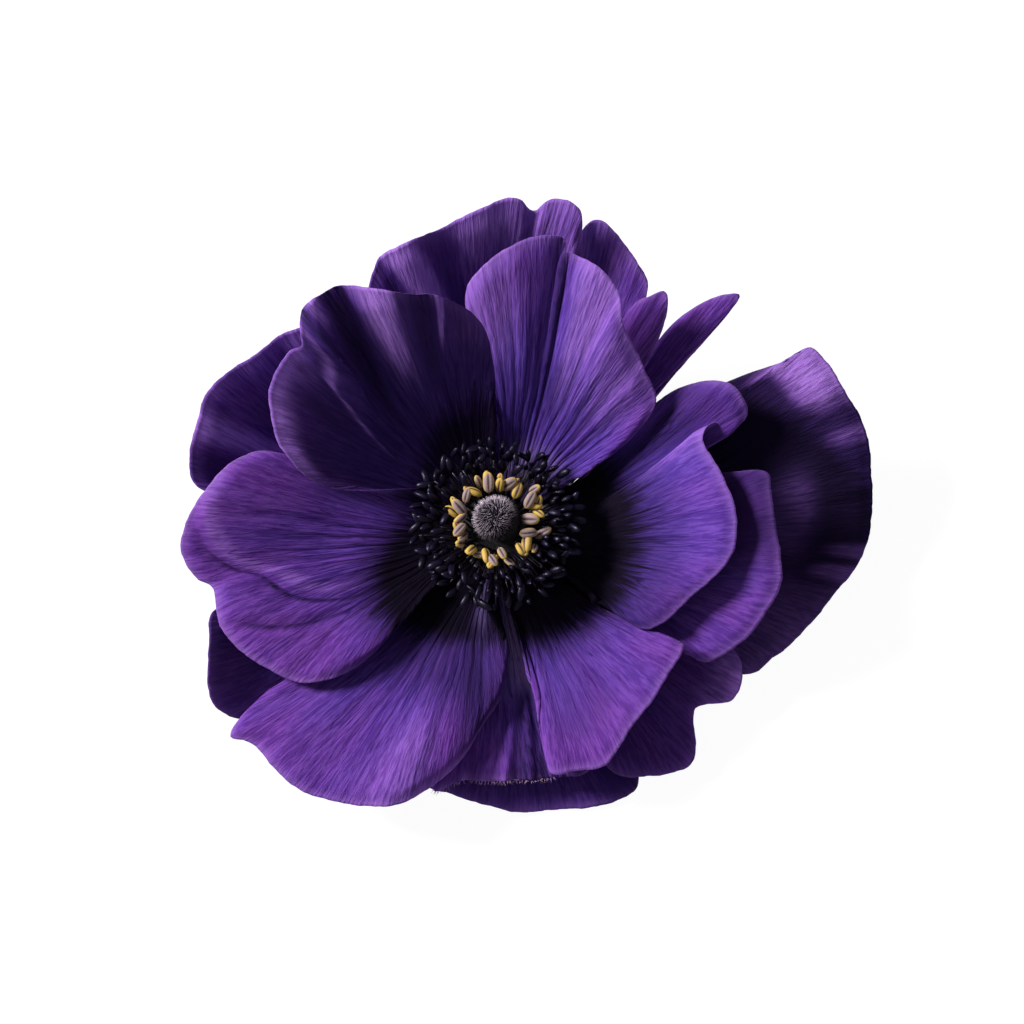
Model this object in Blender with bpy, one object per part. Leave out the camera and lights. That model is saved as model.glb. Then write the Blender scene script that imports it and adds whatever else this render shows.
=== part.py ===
"""A single anemone bloom, picked with a short stub of stalk, lying face up on its outer petals.

Seventeen petals in three whorls grow from a small receptacle, which also carries three whorls of
stamens and, in the middle, the domed pistil.  All sizes below are in millimetres and the objects
are built in metres.  +Z is up, the flower's face looks up, and the origin is on the surface that
the bloom rests on, under the middle of its bounding box.
"""

from math import cos, pi, sin, tau

import bmesh
import bpy
import numpy as np

MM = 0.001

# Where the flower's own axis stands, seen from above, relative to the middle of its bounding box.
AXIS_X = -4.35
AXIS_Y = -2.44

# Receptacle and stalk.
STALK_RADIUS = 2.4
STALK_FOOT = 0.0
RECEPTACLE_RADIUS = 5.1
RECEPTACLE_TOP = 11.4

# Petals. Each grows from the receptacle's side at its own level, and a higher level lies over a
# lower one. A petal shorter than FULL_REACH sags and swells less.
PETAL_THICKNESS = 0.5
PETAL_ROOT_RADIUS = RECEPTACLE_RADIUS + 0.4
LOWEST_LEVEL_HEIGHT = 2.8
LEVEL_PITCH = 0.8
PETAL_COLUMNS = 20
PETAL_ROWS = 6
FOLD_STARTS = 0.22
FULL_REACH = 20.0
CROWN_SHAPE = 9.5

# Stamens and pistil.
SEAT_GAP = 0.3
COLLAR_HEIGHT = 0.5
PISTIL_RADIUS = 2.85
PISTIL_NECK_RADIUS = 2.3
PISTIL_WAIST = 15.8
PISTIL_TOP = 19.0

PETAL_PURPLE = (0.11, 0.035, 0.32, 1.0)
OUTER_PURPLE = (0.07, 0.02, 0.22, 1.0)
STALK_GREEN = (0.10, 0.13, 0.05, 1.0)
STAMEN_BLACK = (0.012, 0.010, 0.022, 1.0)
ANTHER_CREAM = (0.52, 0.42, 0.24, 1.0)
PISTIL_GREY = (0.16, 0.13, 0.17, 1.0)

# Every petal: level, the way it points, its half width at the root in degrees, and its margin from
# one side of the root, round the tip, to the other. A station on the margin is its azimuth in
# degrees, its reach from the flower's axis and its height over the surface.
# bowl: 1 is a straight slope and 2 a bowl. sag: how far the middle hangs below that. crown: how far
# the part near the margin swells above it, so that the rim rolls over.
# folds: (place along the margin, half width, height).
PETALS = {
    "inner_petal_northwest": dict(
        level=9, points=128, root=30, bowl=2.0, crown=0.8, columns=28,
        margin=[
            (151, 10.5, 12.5), (171, 21.5, 19), (166, 28, 24), (158, 31, 26), (151, 32.5, 27.5),
            (141, 32.5, 29), (136, 34, 31), (130, 33.5, 32), (126, 32.5, 32.5), (116, 28.5, 31.5),
            (105, 27, 28.2), (95, 24.5, 24), (91, 20, 19), (90, 14, 14.3),
        ],
        folds=[
            (0.5, 0.022, -1.2), (0.6, 0.03, 2), (0.655, 0.025, -0.8), (0.71, 0.03, 1.8), (0.8, 0.025, 1),
        ],
    ),
    "inner_petal_north": dict(
        level=8, points=66, root=26, bowl=1.7, crown=0.8, columns=26,
        margin=[
            (88, 14, 11.8), (96, 22.5, 15.8), (98, 28.5, 21), (93, 31.5, 25), (84, 34, 28),
            (76, 35.5, 28), (73, 34, 26.5), (67, 33, 28), (60, 31.5, 27), (55, 28.5, 25), (45, 27, 21),
            (36, 25.5, 18), (32, 20.5, 15), (31, 13, 12.4),
        ],
        folds=[(0.33, 0.03, 0.6), (0.475, 0.026, -1.6), (0.54, 0.03, 0.8), (0.66, 0.05, 0.5)],
    ),
    "inner_petal_west": dict(
        level=8, points=186, root=30, bowl=1.5, crown=1.0, columns=24,
        margin=[
            (160, 9, 9.5), (162, 22.5, 13.6), (163, 30.5, 16.5), (167, 34.5, 17), (173, 37, 17.2),
            (180, 39.8, 16.6), (184.5, 40.8, 15.4), (188, 40.3, 14.2), (190.8, 39.2, 13.3),
            (193, 37.6, 13), (200, 38, 13), (208, 36.5, 12), (219, 32.5, 11.2), (225, 27, 11),
            (226, 20, 10.5), (221, 12, 10),
        ],
        folds=[(0.42, 0.04, 0.5), (0.5, 0.022, -1.3), (0.62, 0.05, 0.5)],
    ),
    "inner_petal_east": dict(
        level=7, points=2, root=32, bowl=1.7, crown=0.8, columns=26,
        margin=[
            (30, 13.5, 11.4), (37, 26, 15.2), (35, 31, 17.5), (31, 34, 19.5), (27, 35.5, 19),
            (23, 35.5, 17.5), (22, 33.5, 16), (24, 30.5, 17.5), (20, 28.5, 19), (9, 29.5, 20),
            (-2, 31, 19.5), (-11, 30.5, 18), (-21, 27.5, 15.5), (-32, 25, 13), (-36, 23, 12),
            (-36, 18.5, 11.2), (-32, 12.5, 10.4),
        ],
        folds=[(0.3, 0.04, 0.6), (0.44, 0.03, -0.5)],
    ),
    "inner_petal_southwest": dict(
        level=7, points=240, root=32, bowl=1.2, sag=0.3, crown=1.2,
        margin=[
            (218, 10.5, 8), (221, 22, 8), (218, 31, 8.3), (216, 38.5, 8.4), (218, 43.5, 8.4),
            (222, 42, 8.4), (232, 42.5, 8.5), (243, 40.5, 8.7), (252, 37.5, 9.2), (260, 32, 9.3),
            (266, 26, 9), (272, 21.5, 8.6), (275, 16, 8.4), (262, 10, 9.6),
        ],
        folds=[(0.38, 0.03, -0.4), (0.47, 0.04, 0.5), (0.57, 0.03, -0.4), (0.66, 0.04, 0.5)],
    ),
    "inner_petal_southeast": dict(
        level=6, points=-58, root=26, bowl=1.15, sag=0.4, crown=0.3,
        margin=[
            (-78, 12, 7.7), (-77, 23, 7.9), (-77.8, 30.5, 8.3), (-77, 33, 9), (-71, 33.5, 9.5),
            (-65, 34, 9.8), (-56, 31.5, 10.6), (-45, 30, 11.4), (-33, 29, 12.2), (-35.5, 26.5, 11.4),
            (-36, 22, 10.4), (-37, 16, 9.4), (-40, 11, 8.4),
        ],
        folds=[(0.45, 0.05, 0.4), (0.62, 0.03, -0.4)],
    ),
    "middle_petal_east": dict(
        level=5, points=-10, root=26, bowl=1.6, crown=0.8,
        margin=[
            (14, 12.5, 8), (13, 26, 13.6), (11, 31.5, 17.2), (9, 35.5, 18.5), (3, 35.5, 18.5),
            (-8, 37, 17), (-14, 37.5, 15), (-23, 36, 12), (-30, 33.5, 10), (-33, 32, 9.4), (-33, 29, 9),
            (-34, 22.5, 8.4), (-36, 13, 7.6),
        ],
        folds=[(0.52, 0.04, 0.4), (0.72, 0.025, -0.5)],
    ),
    "middle_petal_south": dict(
        level=5, points=-88, root=24, bowl=1.0, crown=0.2, columns=18,
        margin=[
            (-112, 10, 5.9), (-108, 21.5, 5.5), (-104, 33.5, 5.5), (-98, 33, 5.5), (-88, 32.3, 5.3),
            (-78, 32.5, 5.4), (-69, 32.5, 6.1), (-65, 24, 6.3), (-62, 11, 6.3),
        ],
        folds=[(0.5, 0.08, 0.4)],
    ),
    "outer_petal_north": dict(
        level=4, points=97, root=24, bowl=2.2, sag=3.2, crown=0.8,
        margin=[
            (112, 12, 5.9), (121, 24.5, 10), (120, 33, 18), (116, 36, 21), (112, 37, 22), (100, 38, 23),
            (90, 40.5, 24), (86, 41, 24), (83, 40, 22.5), (80, 41.5, 24), (76, 41.5, 24),
            (73.5, 39.5, 22), (72.5, 33, 15.8), (77.5, 17, 8.2),
        ],
        folds=[(0.36, 0.02, 1.2), (0.42, 0.02, -0.8), (0.665, 0.016, -1)],
    ),
    "outer_petal_northwest": dict(
        level=4, points=155, root=26, bowl=1.9, sag=5.9, crown=0.8,
        margin=[
            (174, 10.5, 6), (173, 26, 7.5), (173, 37, 11.5), (170, 40.5, 13), (162, 41, 15.5),
            (155, 41, 17), (146, 38, 18.5), (138, 36.5, 19), (134, 33.5, 18), (133, 24, 10.5),
            (136, 12, 6.2),
        ],
        folds=[(0.36, 0.025, 0.9), (0.45, 0.025, -0.9), (0.54, 0.025, 1), (0.63, 0.025, -0.6)],
    ),
    "outer_petal_southeast": dict(
        level=4, points=-44, root=26, bowl=1.3, sag=0.4, crown=0.6,
        margin=[
            (-22, 12, 6.1), (-22, 27, 7.4), (-26, 34, 7.8), (-30, 37, 6.6), (-35, 37.5, 5),
            (-40, 34.5, 4.6), (-43, 35, 4.8), (-46, 37.5, 3.8), (-50, 39, 3), (-57, 37, 2.8),
            (-64, 34, 3.8), (-68, 23, 4.9), (-66, 12, 5.6),
        ],
        folds=[(0.45, 0.03, -0.5), (0.55, 0.03, 0.4)],
    ),
    "narrow_petal_north": dict(
        level=5, points=54, root=9, bowl=1.7, crown=0.2, columns=12,
        margin=[
            (59, 15.5, 8), (59, 32.5, 14), (56, 36, 17), (54, 37.5, 17.5), (52, 36.5, 17),
            (50, 33.5, 13.7), (48, 28, 11), (47, 15, 8),
        ],
        folds=[(0.5, 0.1, -0.6)],
    ),
    "outer_petal_northeast": dict(
        level=3, points=62, root=14, bowl=2.2, sag=4.2, crown=0.6,
        margin=[
            (74.5, 15, 3.6), (74.5, 28, 7.4), (74, 38.5, 18), (71, 41.5, 20), (65, 40, 19),
            (59, 38, 16.5), (57, 36, 14.7), (54, 31, 11), (51, 16, 5.6),
        ],
        folds=[(0.44, 0.03, 0.8), (0.55, 0.03, -0.6)],
    ),
    "outer_petal_southwest": dict(
        level=3, points=208, root=26, bowl=3.4, sag=2.6, crown=0.0,
        margin=[
            (192, 11, 4.6), (195, 26.5, 6), (196, 37.5, 10), (202, 40, 11), (211, 43, 9), (215, 42, 7),
            (217, 39.5, 5.6), (219, 33, 4), (225, 12, 4.6),
        ],
        folds=[(0.5, 0.04, 0.5)],
    ),
    "outer_petal_south": dict(
        level=3, points=-82, root=26, bowl=1.0, sag=0.5, crown=0.7,
        margin=[
            (-112, 11, 4.8), (-110, 25.5, 4.2), (-107, 33, 3.3), (-99, 34, 2.6), (-87, 35.5, 1.3),
            (-77, 36, 0.6), (-70, 37, 0.7), (-60, 37, 1), (-58, 30, 1.8), (-60, 13, 3.6),
        ],
        folds=[(0.4, 0.03, 0.3), (0.6, 0.03, 0.3)],
    ),
    "outer_petal_east": dict(
        level=2, points=4, root=30, bowl=0.9, sag=-0.5, crown=0.8, columns=24,
        margin=[
            (33, 14.5, 5), (36, 23.5, 8.5), (33, 35, 12.5), (30, 43.5, 14.5), (30, 47, 15),
            (28, 48, 14.8), (21, 49, 14), (15, 50, 12.2), (5, 49.5, 8.6), (-3, 48, 5.5), (-9, 45, 5),
            (-17, 42, 4.5), (-23, 39.5, 4), (-29, 36.5, 3.6), (-31, 25, 2.6), (-22, 13, 3.4),
        ],
        folds=[
            (0.3, 0.02, 0.5), (0.4, 0.02, -0.4), (0.5, 0.03, 0.5), (0.62, 0.02, -0.5), (0.7, 0.02, 0.5),
        ],
    ),
    "narrow_petal_northeast": dict(
        level=1, points=43, root=6, bowl=1.5, crown=0.2, columns=12,
        margin=[
            (46, 16, 2.6), (48.5, 25.5, 4.8), (50.5, 34.5, 10.2), (48, 40.5, 13.5), (44, 44.5, 14.5),
            (43.5, 40, 11.5), (43, 33.5, 9.2), (42, 27, 6.4), (41.5, 16.5, 3.2),
        ],
        folds=[(0.5, 0.1, -0.4)],
    ),
}

# Every whorl of stamens: how many, where its collar stands, where the filament ends and the anther
# ends, as (distance from the axis, height), and the anther's half width.
STAMEN_WHORLS = {
    "inner_stamens": dict(
        count=18, collar=(3.25, 3.65), neck=(4.1, 15.0), tip=(6.1, 16.0), half_width=0.38,
    ),
    "middle_stamens": dict(
        count=24, collar=(3.95, 4.35), neck=(6.6, 14.2), tip=(8.7, 15.0), half_width=0.38,
    ),
    "outer_stamens": dict(
        count=30, collar=(4.65, 5.05), neck=(9.0, 13.3), tip=(11.2, 14.2), half_width=0.38,
    ),
}


def clear_scene():
    for obj in list(bpy.data.objects):
        bpy.data.objects.remove(obj)


def material(name, color, roughness):
    made = bpy.data.materials.new(name)
    made.use_nodes = True
    shader = made.node_tree.nodes["Principled BSDF"]
    shader.inputs["Base Color"].default_value = color
    shader.inputs["Roughness"].default_value = roughness
    shader.inputs["Metallic"].default_value = 0.0
    made.diffuse_color = color
    return made


def add_object(name, mesh, finish):
    """An object on the flower's own axis, which its mesh is modelled about."""
    obj = bpy.data.objects.new(name, mesh)
    obj.location = (AXIS_X * MM, AXIS_Y * MM, 0.0)
    bpy.context.scene.collection.objects.link(obj)
    mesh.materials.append(finish)
    mesh.shade_smooth()
    return obj


def polar(azimuth, reach):
    """A point over the floor, from its azimuth in degrees and its distance from the flower's axis."""
    angle = np.radians(azimuth)
    return np.stack([reach * np.cos(angle), reach * np.sin(angle)], axis=-1)


def smooth_curve(points, count):
    """Evenly spaced points, by length, on a Catmull-Rom curve through the given ones."""
    padded = np.vstack([2 * points[0] - points[1], points, 2 * points[-1] - points[-2]])
    t = np.linspace(0, 1, 12, endpoint=False)[:, None]
    pieces = []
    for a, b, c, d in zip(padded, padded[1:], padded[2:], padded[3:]):
        square = (2 * a - 5 * b + 4 * c - d) * t**2
        cube = (3 * b - a - 3 * c + d) * t**3
        pieces.append(0.5 * (2 * b + (c - a) * t + square + cube))
    fine = np.vstack([*pieces, points[-1:]])
    length = np.concatenate([[0], np.cumsum(np.linalg.norm(np.diff(fine, axis=0), axis=1))])
    at = np.linspace(0, length[-1], count)
    return np.stack([np.interp(at, length, fine[:, k]) for k in range(3)], axis=-1)


def unit(vectors):
    return vectors / np.linalg.norm(vectors, axis=-1, keepdims=True)


def normals_of(surface):
    across = np.gradient(surface, axis=0)
    along = np.gradient(surface, axis=1)
    normal = unit(np.cross(along, across))
    return normal * np.sign(normal[..., 2:].mean())


def petal_surface(petal, columns, rows):
    """The petal's middle surface as ribs that fan out from its root to its margin, in millimetres.

    A rib leaves the root along the petal, bends towards its own place on the margin, and climbs as a
    power of its length, less the sag.  Folds run along the ribs and grow towards the margin.
    """
    stations = np.array(petal["margin"], float)
    plan_stations = polar(stations[:, 0], stations[:, 1])
    margin = smooth_curve(np.column_stack([plan_stations, stations[:, 2]]), columns)
    side = np.sign((stations[-1, 0] - stations[0, 0]))
    root_azimuth = petal["points"] + side * petal["root"] * np.linspace(-1, 1, columns)
    root = polar(root_azimuth, PETAL_ROOT_RADIUS)
    root_height = LOWEST_LEVEL_HEIGHT + LEVEL_PITCH * (petal["level"] - 1)
    chord = margin[:, :2] - root
    run = np.linalg.norm(chord, axis=1, keepdims=True)
    bend = root + 0.5 * run * unit(0.5 * unit(chord) + 0.5 * unit(root))
    v = np.linspace(0, 1, rows)[None, :, None]
    plan = (1 - v) ** 2 * root[:, None] + 2 * v * (1 - v) * bend[:, None] + v**2 * margin[:, None, :2]
    v = v[..., 0]
    height = root_height + (margin[:, None, 2] - root_height) * v ** petal["bowl"]
    reach = np.minimum(1, run / FULL_REACH)
    height = height - petal.get("sag", 0.0) * 4 * v * (1 - v) * reach
    height = height + petal["crown"] * CROWN_SHAPE * v**3 * (1 - v) * reach
    surface = np.dstack([plan, height])
    u = np.linspace(0, 1, columns)[:, None]
    rise = np.clip((v - FOLD_STARTS) / (1 - FOLD_STARTS), 0, 1) ** 1.5
    folds = sum(size * np.exp(-(((u - place) / width) ** 2)) for place, width, size in petal["folds"])
    return surface + (folds * rise)[..., None] * normals_of(surface)


def grid_faces(columns, rows):
    index = np.arange(columns * rows).reshape(columns, rows)
    corners = [index[:-1, :-1], index[1:, :-1], index[1:, 1:], index[:-1, 1:]]
    return np.stack(corners, axis=-1).reshape(-1, 4)


def add_petal(name, petal, finish):
    """The middle surface, given its thickness half to each side by Solidify."""
    columns = petal.get("columns", PETAL_COLUMNS)
    surface = petal_surface(petal, columns, PETAL_ROWS)
    mesh = bpy.data.meshes.new(name)
    points = (surface.reshape(-1, 3) * MM).tolist()
    mesh.from_pydata(points, [], grid_faces(columns, PETAL_ROWS).tolist())
    obj = add_object(name, mesh, finish)
    solidify = obj.modifiers.new("thickness", "SOLIDIFY")
    solidify.thickness = PETAL_THICKNESS * MM
    solidify.offset = 0.0
    return obj


def add_turned(name, profile, finish, steps):
    """A profile of (radius, height), from the top down, turned about the flower's axis."""
    mesh = bpy.data.meshes.new(name)
    points = [(radius * MM, 0.0, height * MM) for radius, height in profile]
    mesh.from_pydata(points, [(k, k + 1) for k in range(len(points) - 1)], [])
    obj = add_object(name, mesh, finish)
    screw = obj.modifiers.new("turned", "SCREW")
    screw.axis = "Z"
    screw.steps = screw.render_steps = steps
    screw.use_merge_vertices = True
    screw.merge_threshold = 1e-5
    screw.use_smooth_shade = True
    return obj


def add_receptacle(finish):
    profile = [
        (0, RECEPTACLE_TOP), (RECEPTACLE_RADIUS - 0.1, RECEPTACLE_TOP),
        (RECEPTACLE_RADIUS, RECEPTACLE_TOP - 0.3), (RECEPTACLE_RADIUS, 2.6), (4.5, 2.0),
        (STALK_RADIUS, 1.5), (STALK_RADIUS, STALK_FOOT), (0, STALK_FOOT),
    ]
    return add_turned("stalk_and_receptacle", profile, finish, steps=24)


def add_pistil(finish):
    """A dome on a neck: the dome is half an ellipse in section."""
    dome = [
        (PISTIL_RADIUS * sin(angle), PISTIL_WAIST + (PISTIL_TOP - PISTIL_WAIST) * cos(angle))
        for angle in (k * pi / 12 for k in range(7))
    ]
    foot = RECEPTACLE_TOP + SEAT_GAP
    neck = [(PISTIL_NECK_RADIUS + 0.3, 14.6), (PISTIL_NECK_RADIUS, 13.4), (PISTIL_NECK_RADIUS, foot)]
    return add_turned("pistil", [*dome, *neck, (0, foot)], finish, steps=20)


def collar(bm, count, inner, outer, low, high):
    """A flat ring of square section. Returns its top faces, of which every other one grows a stamen."""
    segments = 2 * count
    rings = []
    for radius, height in ((inner, low), (outer, low), (outer, high), (inner, high)):
        rings.append([
            bm.verts.new((radius * cos(tau * k / segments), radius * sin(tau * k / segments), height))
            for k in range(segments)
        ])
    tops = []
    for k in range(segments):
        following = (k + 1) % segments
        for side in range(4):
            a, b = rings[side], rings[(side + 1) % 4]
            face = bm.faces.new((a[k], a[following], b[following], b[k]))
            if side == 2:
                tops.append(face)
    return tops


def grow_stamen(bm, face, whorl, lift):
    """Extrudes one collar face into a four-sided filament, which swells into its anther."""
    centre = face.calc_center_median()
    angle = np.arctan2(centre.y, centre.x)
    outward = np.array([cos(angle), sin(angle), 0.0])
    sideways = np.array([-sin(angle), cos(angle), 0.0])
    upward = np.array([0.0, 0.0, 1.0])
    neck_out, neck_up = whorl["neck"]
    tip_out, tip_up = whorl["tip"]
    stations = [
        (neck_out, neck_up, 0.16),
        (neck_out * 0.75 + tip_out * 0.25, neck_up * 0.75 + tip_up * 0.25, 1.0),
        (neck_out * 0.25 + tip_out * 0.75, neck_up * 0.25 + tip_up * 0.75, 0.85),
        (tip_out, tip_up, 0.35),
    ]
    lean = np.array([tip_out - neck_out, tip_up - neck_up])
    lean = lean / np.linalg.norm(lean)
    across = lean[0] * upward - lean[1] * outward
    signs = []
    for vert in face.verts:
        offset = np.array(vert.co - centre)
        signs.append((np.sign(offset @ sideways), np.sign(offset @ outward)))
    for out, up, share in stations:
        face = bmesh.ops.extrude_discrete_faces(bm, faces=[face])["faces"][0]
        middle = out * outward + (up + lift) * upward
        half = whorl["half_width"] * share
        for vert, (sign_side, sign_out) in zip(face.verts, signs):
            vert.co = middle + sign_side * half * sideways - sign_out * half * across


def add_stamens(name, whorl, finish):
    """One whorl: a collar, with a filament and an anther from every other face of its top."""
    low = RECEPTACLE_TOP + SEAT_GAP
    bm = bmesh.new()
    tops = collar(bm, whorl["count"], *whorl["collar"], low, low + COLLAR_HEIGHT)
    for k, face in enumerate(tops[::2]):
        grow_stamen(bm, face, whorl, lift=0.25 * sin(2.4 * k))
    bmesh.ops.recalc_face_normals(bm, faces=bm.faces)
    bmesh.ops.scale(bm, vec=(MM, MM, MM), verts=bm.verts)
    mesh = bpy.data.meshes.new(name)
    bm.to_mesh(mesh)
    bm.free()
    return add_object(name, mesh, finish)


def main():
    clear_scene()
    inner_finish = material("petal_purple", PETAL_PURPLE, 0.55)
    outer_finish = material("outer_petal_purple", OUTER_PURPLE, 0.6)
    dark = material("stamen_black", STAMEN_BLACK, 0.4)
    cream = material("anther_cream", ANTHER_CREAM, 0.55)
    add_receptacle(material("stalk_green", STALK_GREEN, 0.7))
    add_pistil(material("pistil_grey", PISTIL_GREY, 0.8))
    for name, whorl in STAMEN_WHORLS.items():
        add_stamens(name, whorl, cream if name == "inner_stamens" else dark)
    for name, petal in PETALS.items():
        add_petal(name, petal, inner_finish if name.startswith("inner") else outer_finish)


main()
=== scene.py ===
"""A fully open violet anemone bloom, picked with a stub of stalk and lying face up.

Each petal, whorl of stamens, the pistil and the stalk is a surface worked out with numpy around the
solids of the frame.  Sizes in the tables are in millimetres and degrees, about the flower's own axis.
"""

import bpy
import numpy as np
from bpy.props import FloatProperty, FloatVectorProperty, IntProperty, PointerProperty
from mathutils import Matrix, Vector


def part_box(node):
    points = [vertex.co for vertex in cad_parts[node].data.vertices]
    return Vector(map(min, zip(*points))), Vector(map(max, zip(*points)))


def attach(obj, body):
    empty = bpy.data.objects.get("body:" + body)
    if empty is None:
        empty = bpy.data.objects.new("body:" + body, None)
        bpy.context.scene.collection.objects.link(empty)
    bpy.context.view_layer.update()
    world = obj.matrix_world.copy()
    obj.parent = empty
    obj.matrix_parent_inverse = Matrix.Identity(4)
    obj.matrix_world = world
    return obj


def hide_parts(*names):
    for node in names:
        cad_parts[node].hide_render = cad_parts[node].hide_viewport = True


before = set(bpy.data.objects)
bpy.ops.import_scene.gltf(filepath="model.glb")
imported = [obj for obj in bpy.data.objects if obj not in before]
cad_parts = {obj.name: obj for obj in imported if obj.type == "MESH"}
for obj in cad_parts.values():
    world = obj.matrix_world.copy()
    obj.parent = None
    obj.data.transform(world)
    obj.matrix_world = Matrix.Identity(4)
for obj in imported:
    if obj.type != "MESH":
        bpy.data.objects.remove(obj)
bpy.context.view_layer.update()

bl_info = {
    "name": "Anemone bloom",
    "version": (1, 0, 0),
    "blender": (4, 5, 0),
    "location": "3D View > Sidebar > Bloom",
    "description": "Grows the petals, stamens, pistil and stalk of an open anemone around its frame",
    "category": "Add Mesh",
}

MM = 0.001


def node_box(node):
    """A node's lowest and highest corners, in millimetres."""
    low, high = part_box(node)
    return np.array(low) / MM, np.array(high) / MM


PISTIL_LOW, PISTIL_HIGH = node_box("pistil")
STALK_LOW, STALK_HIGH = node_box("stalk_and_receptacle")
AXIS = (PISTIL_LOW[:2] + PISTIL_HIGH[:2]) / 2
RECEPTACLE_TOP = STALK_HIGH[2]
RECEPTACLE_RADIUS = (STALK_HIGH[0] - STALK_LOW[0]) / 2
PISTIL_RADIUS = (PISTIL_HIGH[0] - PISTIL_LOW[0]) / 2
PISTIL_TOP = PISTIL_HIGH[2]

# Petals. Each grows from the receptacle's side at its own level, and a higher level lies over a
# lower one. A petal shorter than FULL_REACH sags and swells less.
PETAL_ROOT_RADIUS = RECEPTACLE_RADIUS - 0.3
LOWEST_LEVEL_HEIGHT = 2.8
LEVEL_PITCH = 0.8
CROWN_SHAPE = 9.5
FULL_REACH = 20.0
RIM_THICKNESS = 0.11
THIN_RIM_WIDTH = 2.2
ROLLED_RIM_WIDTH = 2.4
# Width of the painted sheen along the petals' rims.
RIM_SHEEN_WIDTH = 1.4
RIM_HAIRS = 170
# How far the dark base and the painted shade in deep violet take to fade out.
STAIN_FEATHER = 6.0
PAINTED_SHADE_FEATHER = 8.0

# The pistil: how far its hairs stand out, and how high its dome is over its waist.
HAIR_COAT = 0.42
DOME_HEIGHT = 2.6

# The stub of stalk.
STALK_RADIUS = 2.4

# How far each stamen strays, in millimetres and degrees.
STAMEN_STRAY = dict(reach=0.36, height=0.3, tilt=24, facing=34)

# The bloom's face looks this way: up, and a little to the front.
FACING = np.array([0.0, -0.259, 0.966])

# Every petal: level, the way it points, its half width at the root in degrees, and its margin from
# one side of the root, round the tip, to the other. A station on the margin is its azimuth in
# degrees, its reach from the flower's axis and its height over the surface.
# bowl: 1 is a straight slope and 2 a bowl. sag: how far the middle hangs below that. crown: how far
# the part near the margin swells above it, so that the rim rolls over.
# folds: place along the margin, width before and after the crest, height, place at the root, how far
# the middle bows aside, and how far along the ribs it starts.
# notches: place along the margin, half width and depth.
# stain: how far the dark base reaches at the first and the last side, and how dark it is. The outer
# petals' own is USUAL_STAIN. On outer_petal_east it reaches over most of the petal as painted shade.
# dusk_and_painted_shade: painted shade in deep violet round the dark base, over the parts of the petal
# that lie in shadow: how far it reaches at the first and the last side, and how deep it is.
# painted_glow: painted light, a pale patch near the root, as place, half width, reach and strength.
# painted_bands: painted highlight (above 0) and painted shade (below 0) in bands along the ribs, where
# folds catch the light or lie in shadow, as strength, place along the margin, width before and after
# that, place at the root, how far the middle bows aside, start and end along the ribs.
# fringe: pale hairs on the rim, between two places along the margin.
# ruffle: height of the waves in the rim. pleat: height of the pleats near the root. roll: how far the
# rim turns down. red: from 0, blue violet, to 1, red violet.
USUAL_STAIN = (15, 15, 0.9)
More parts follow.
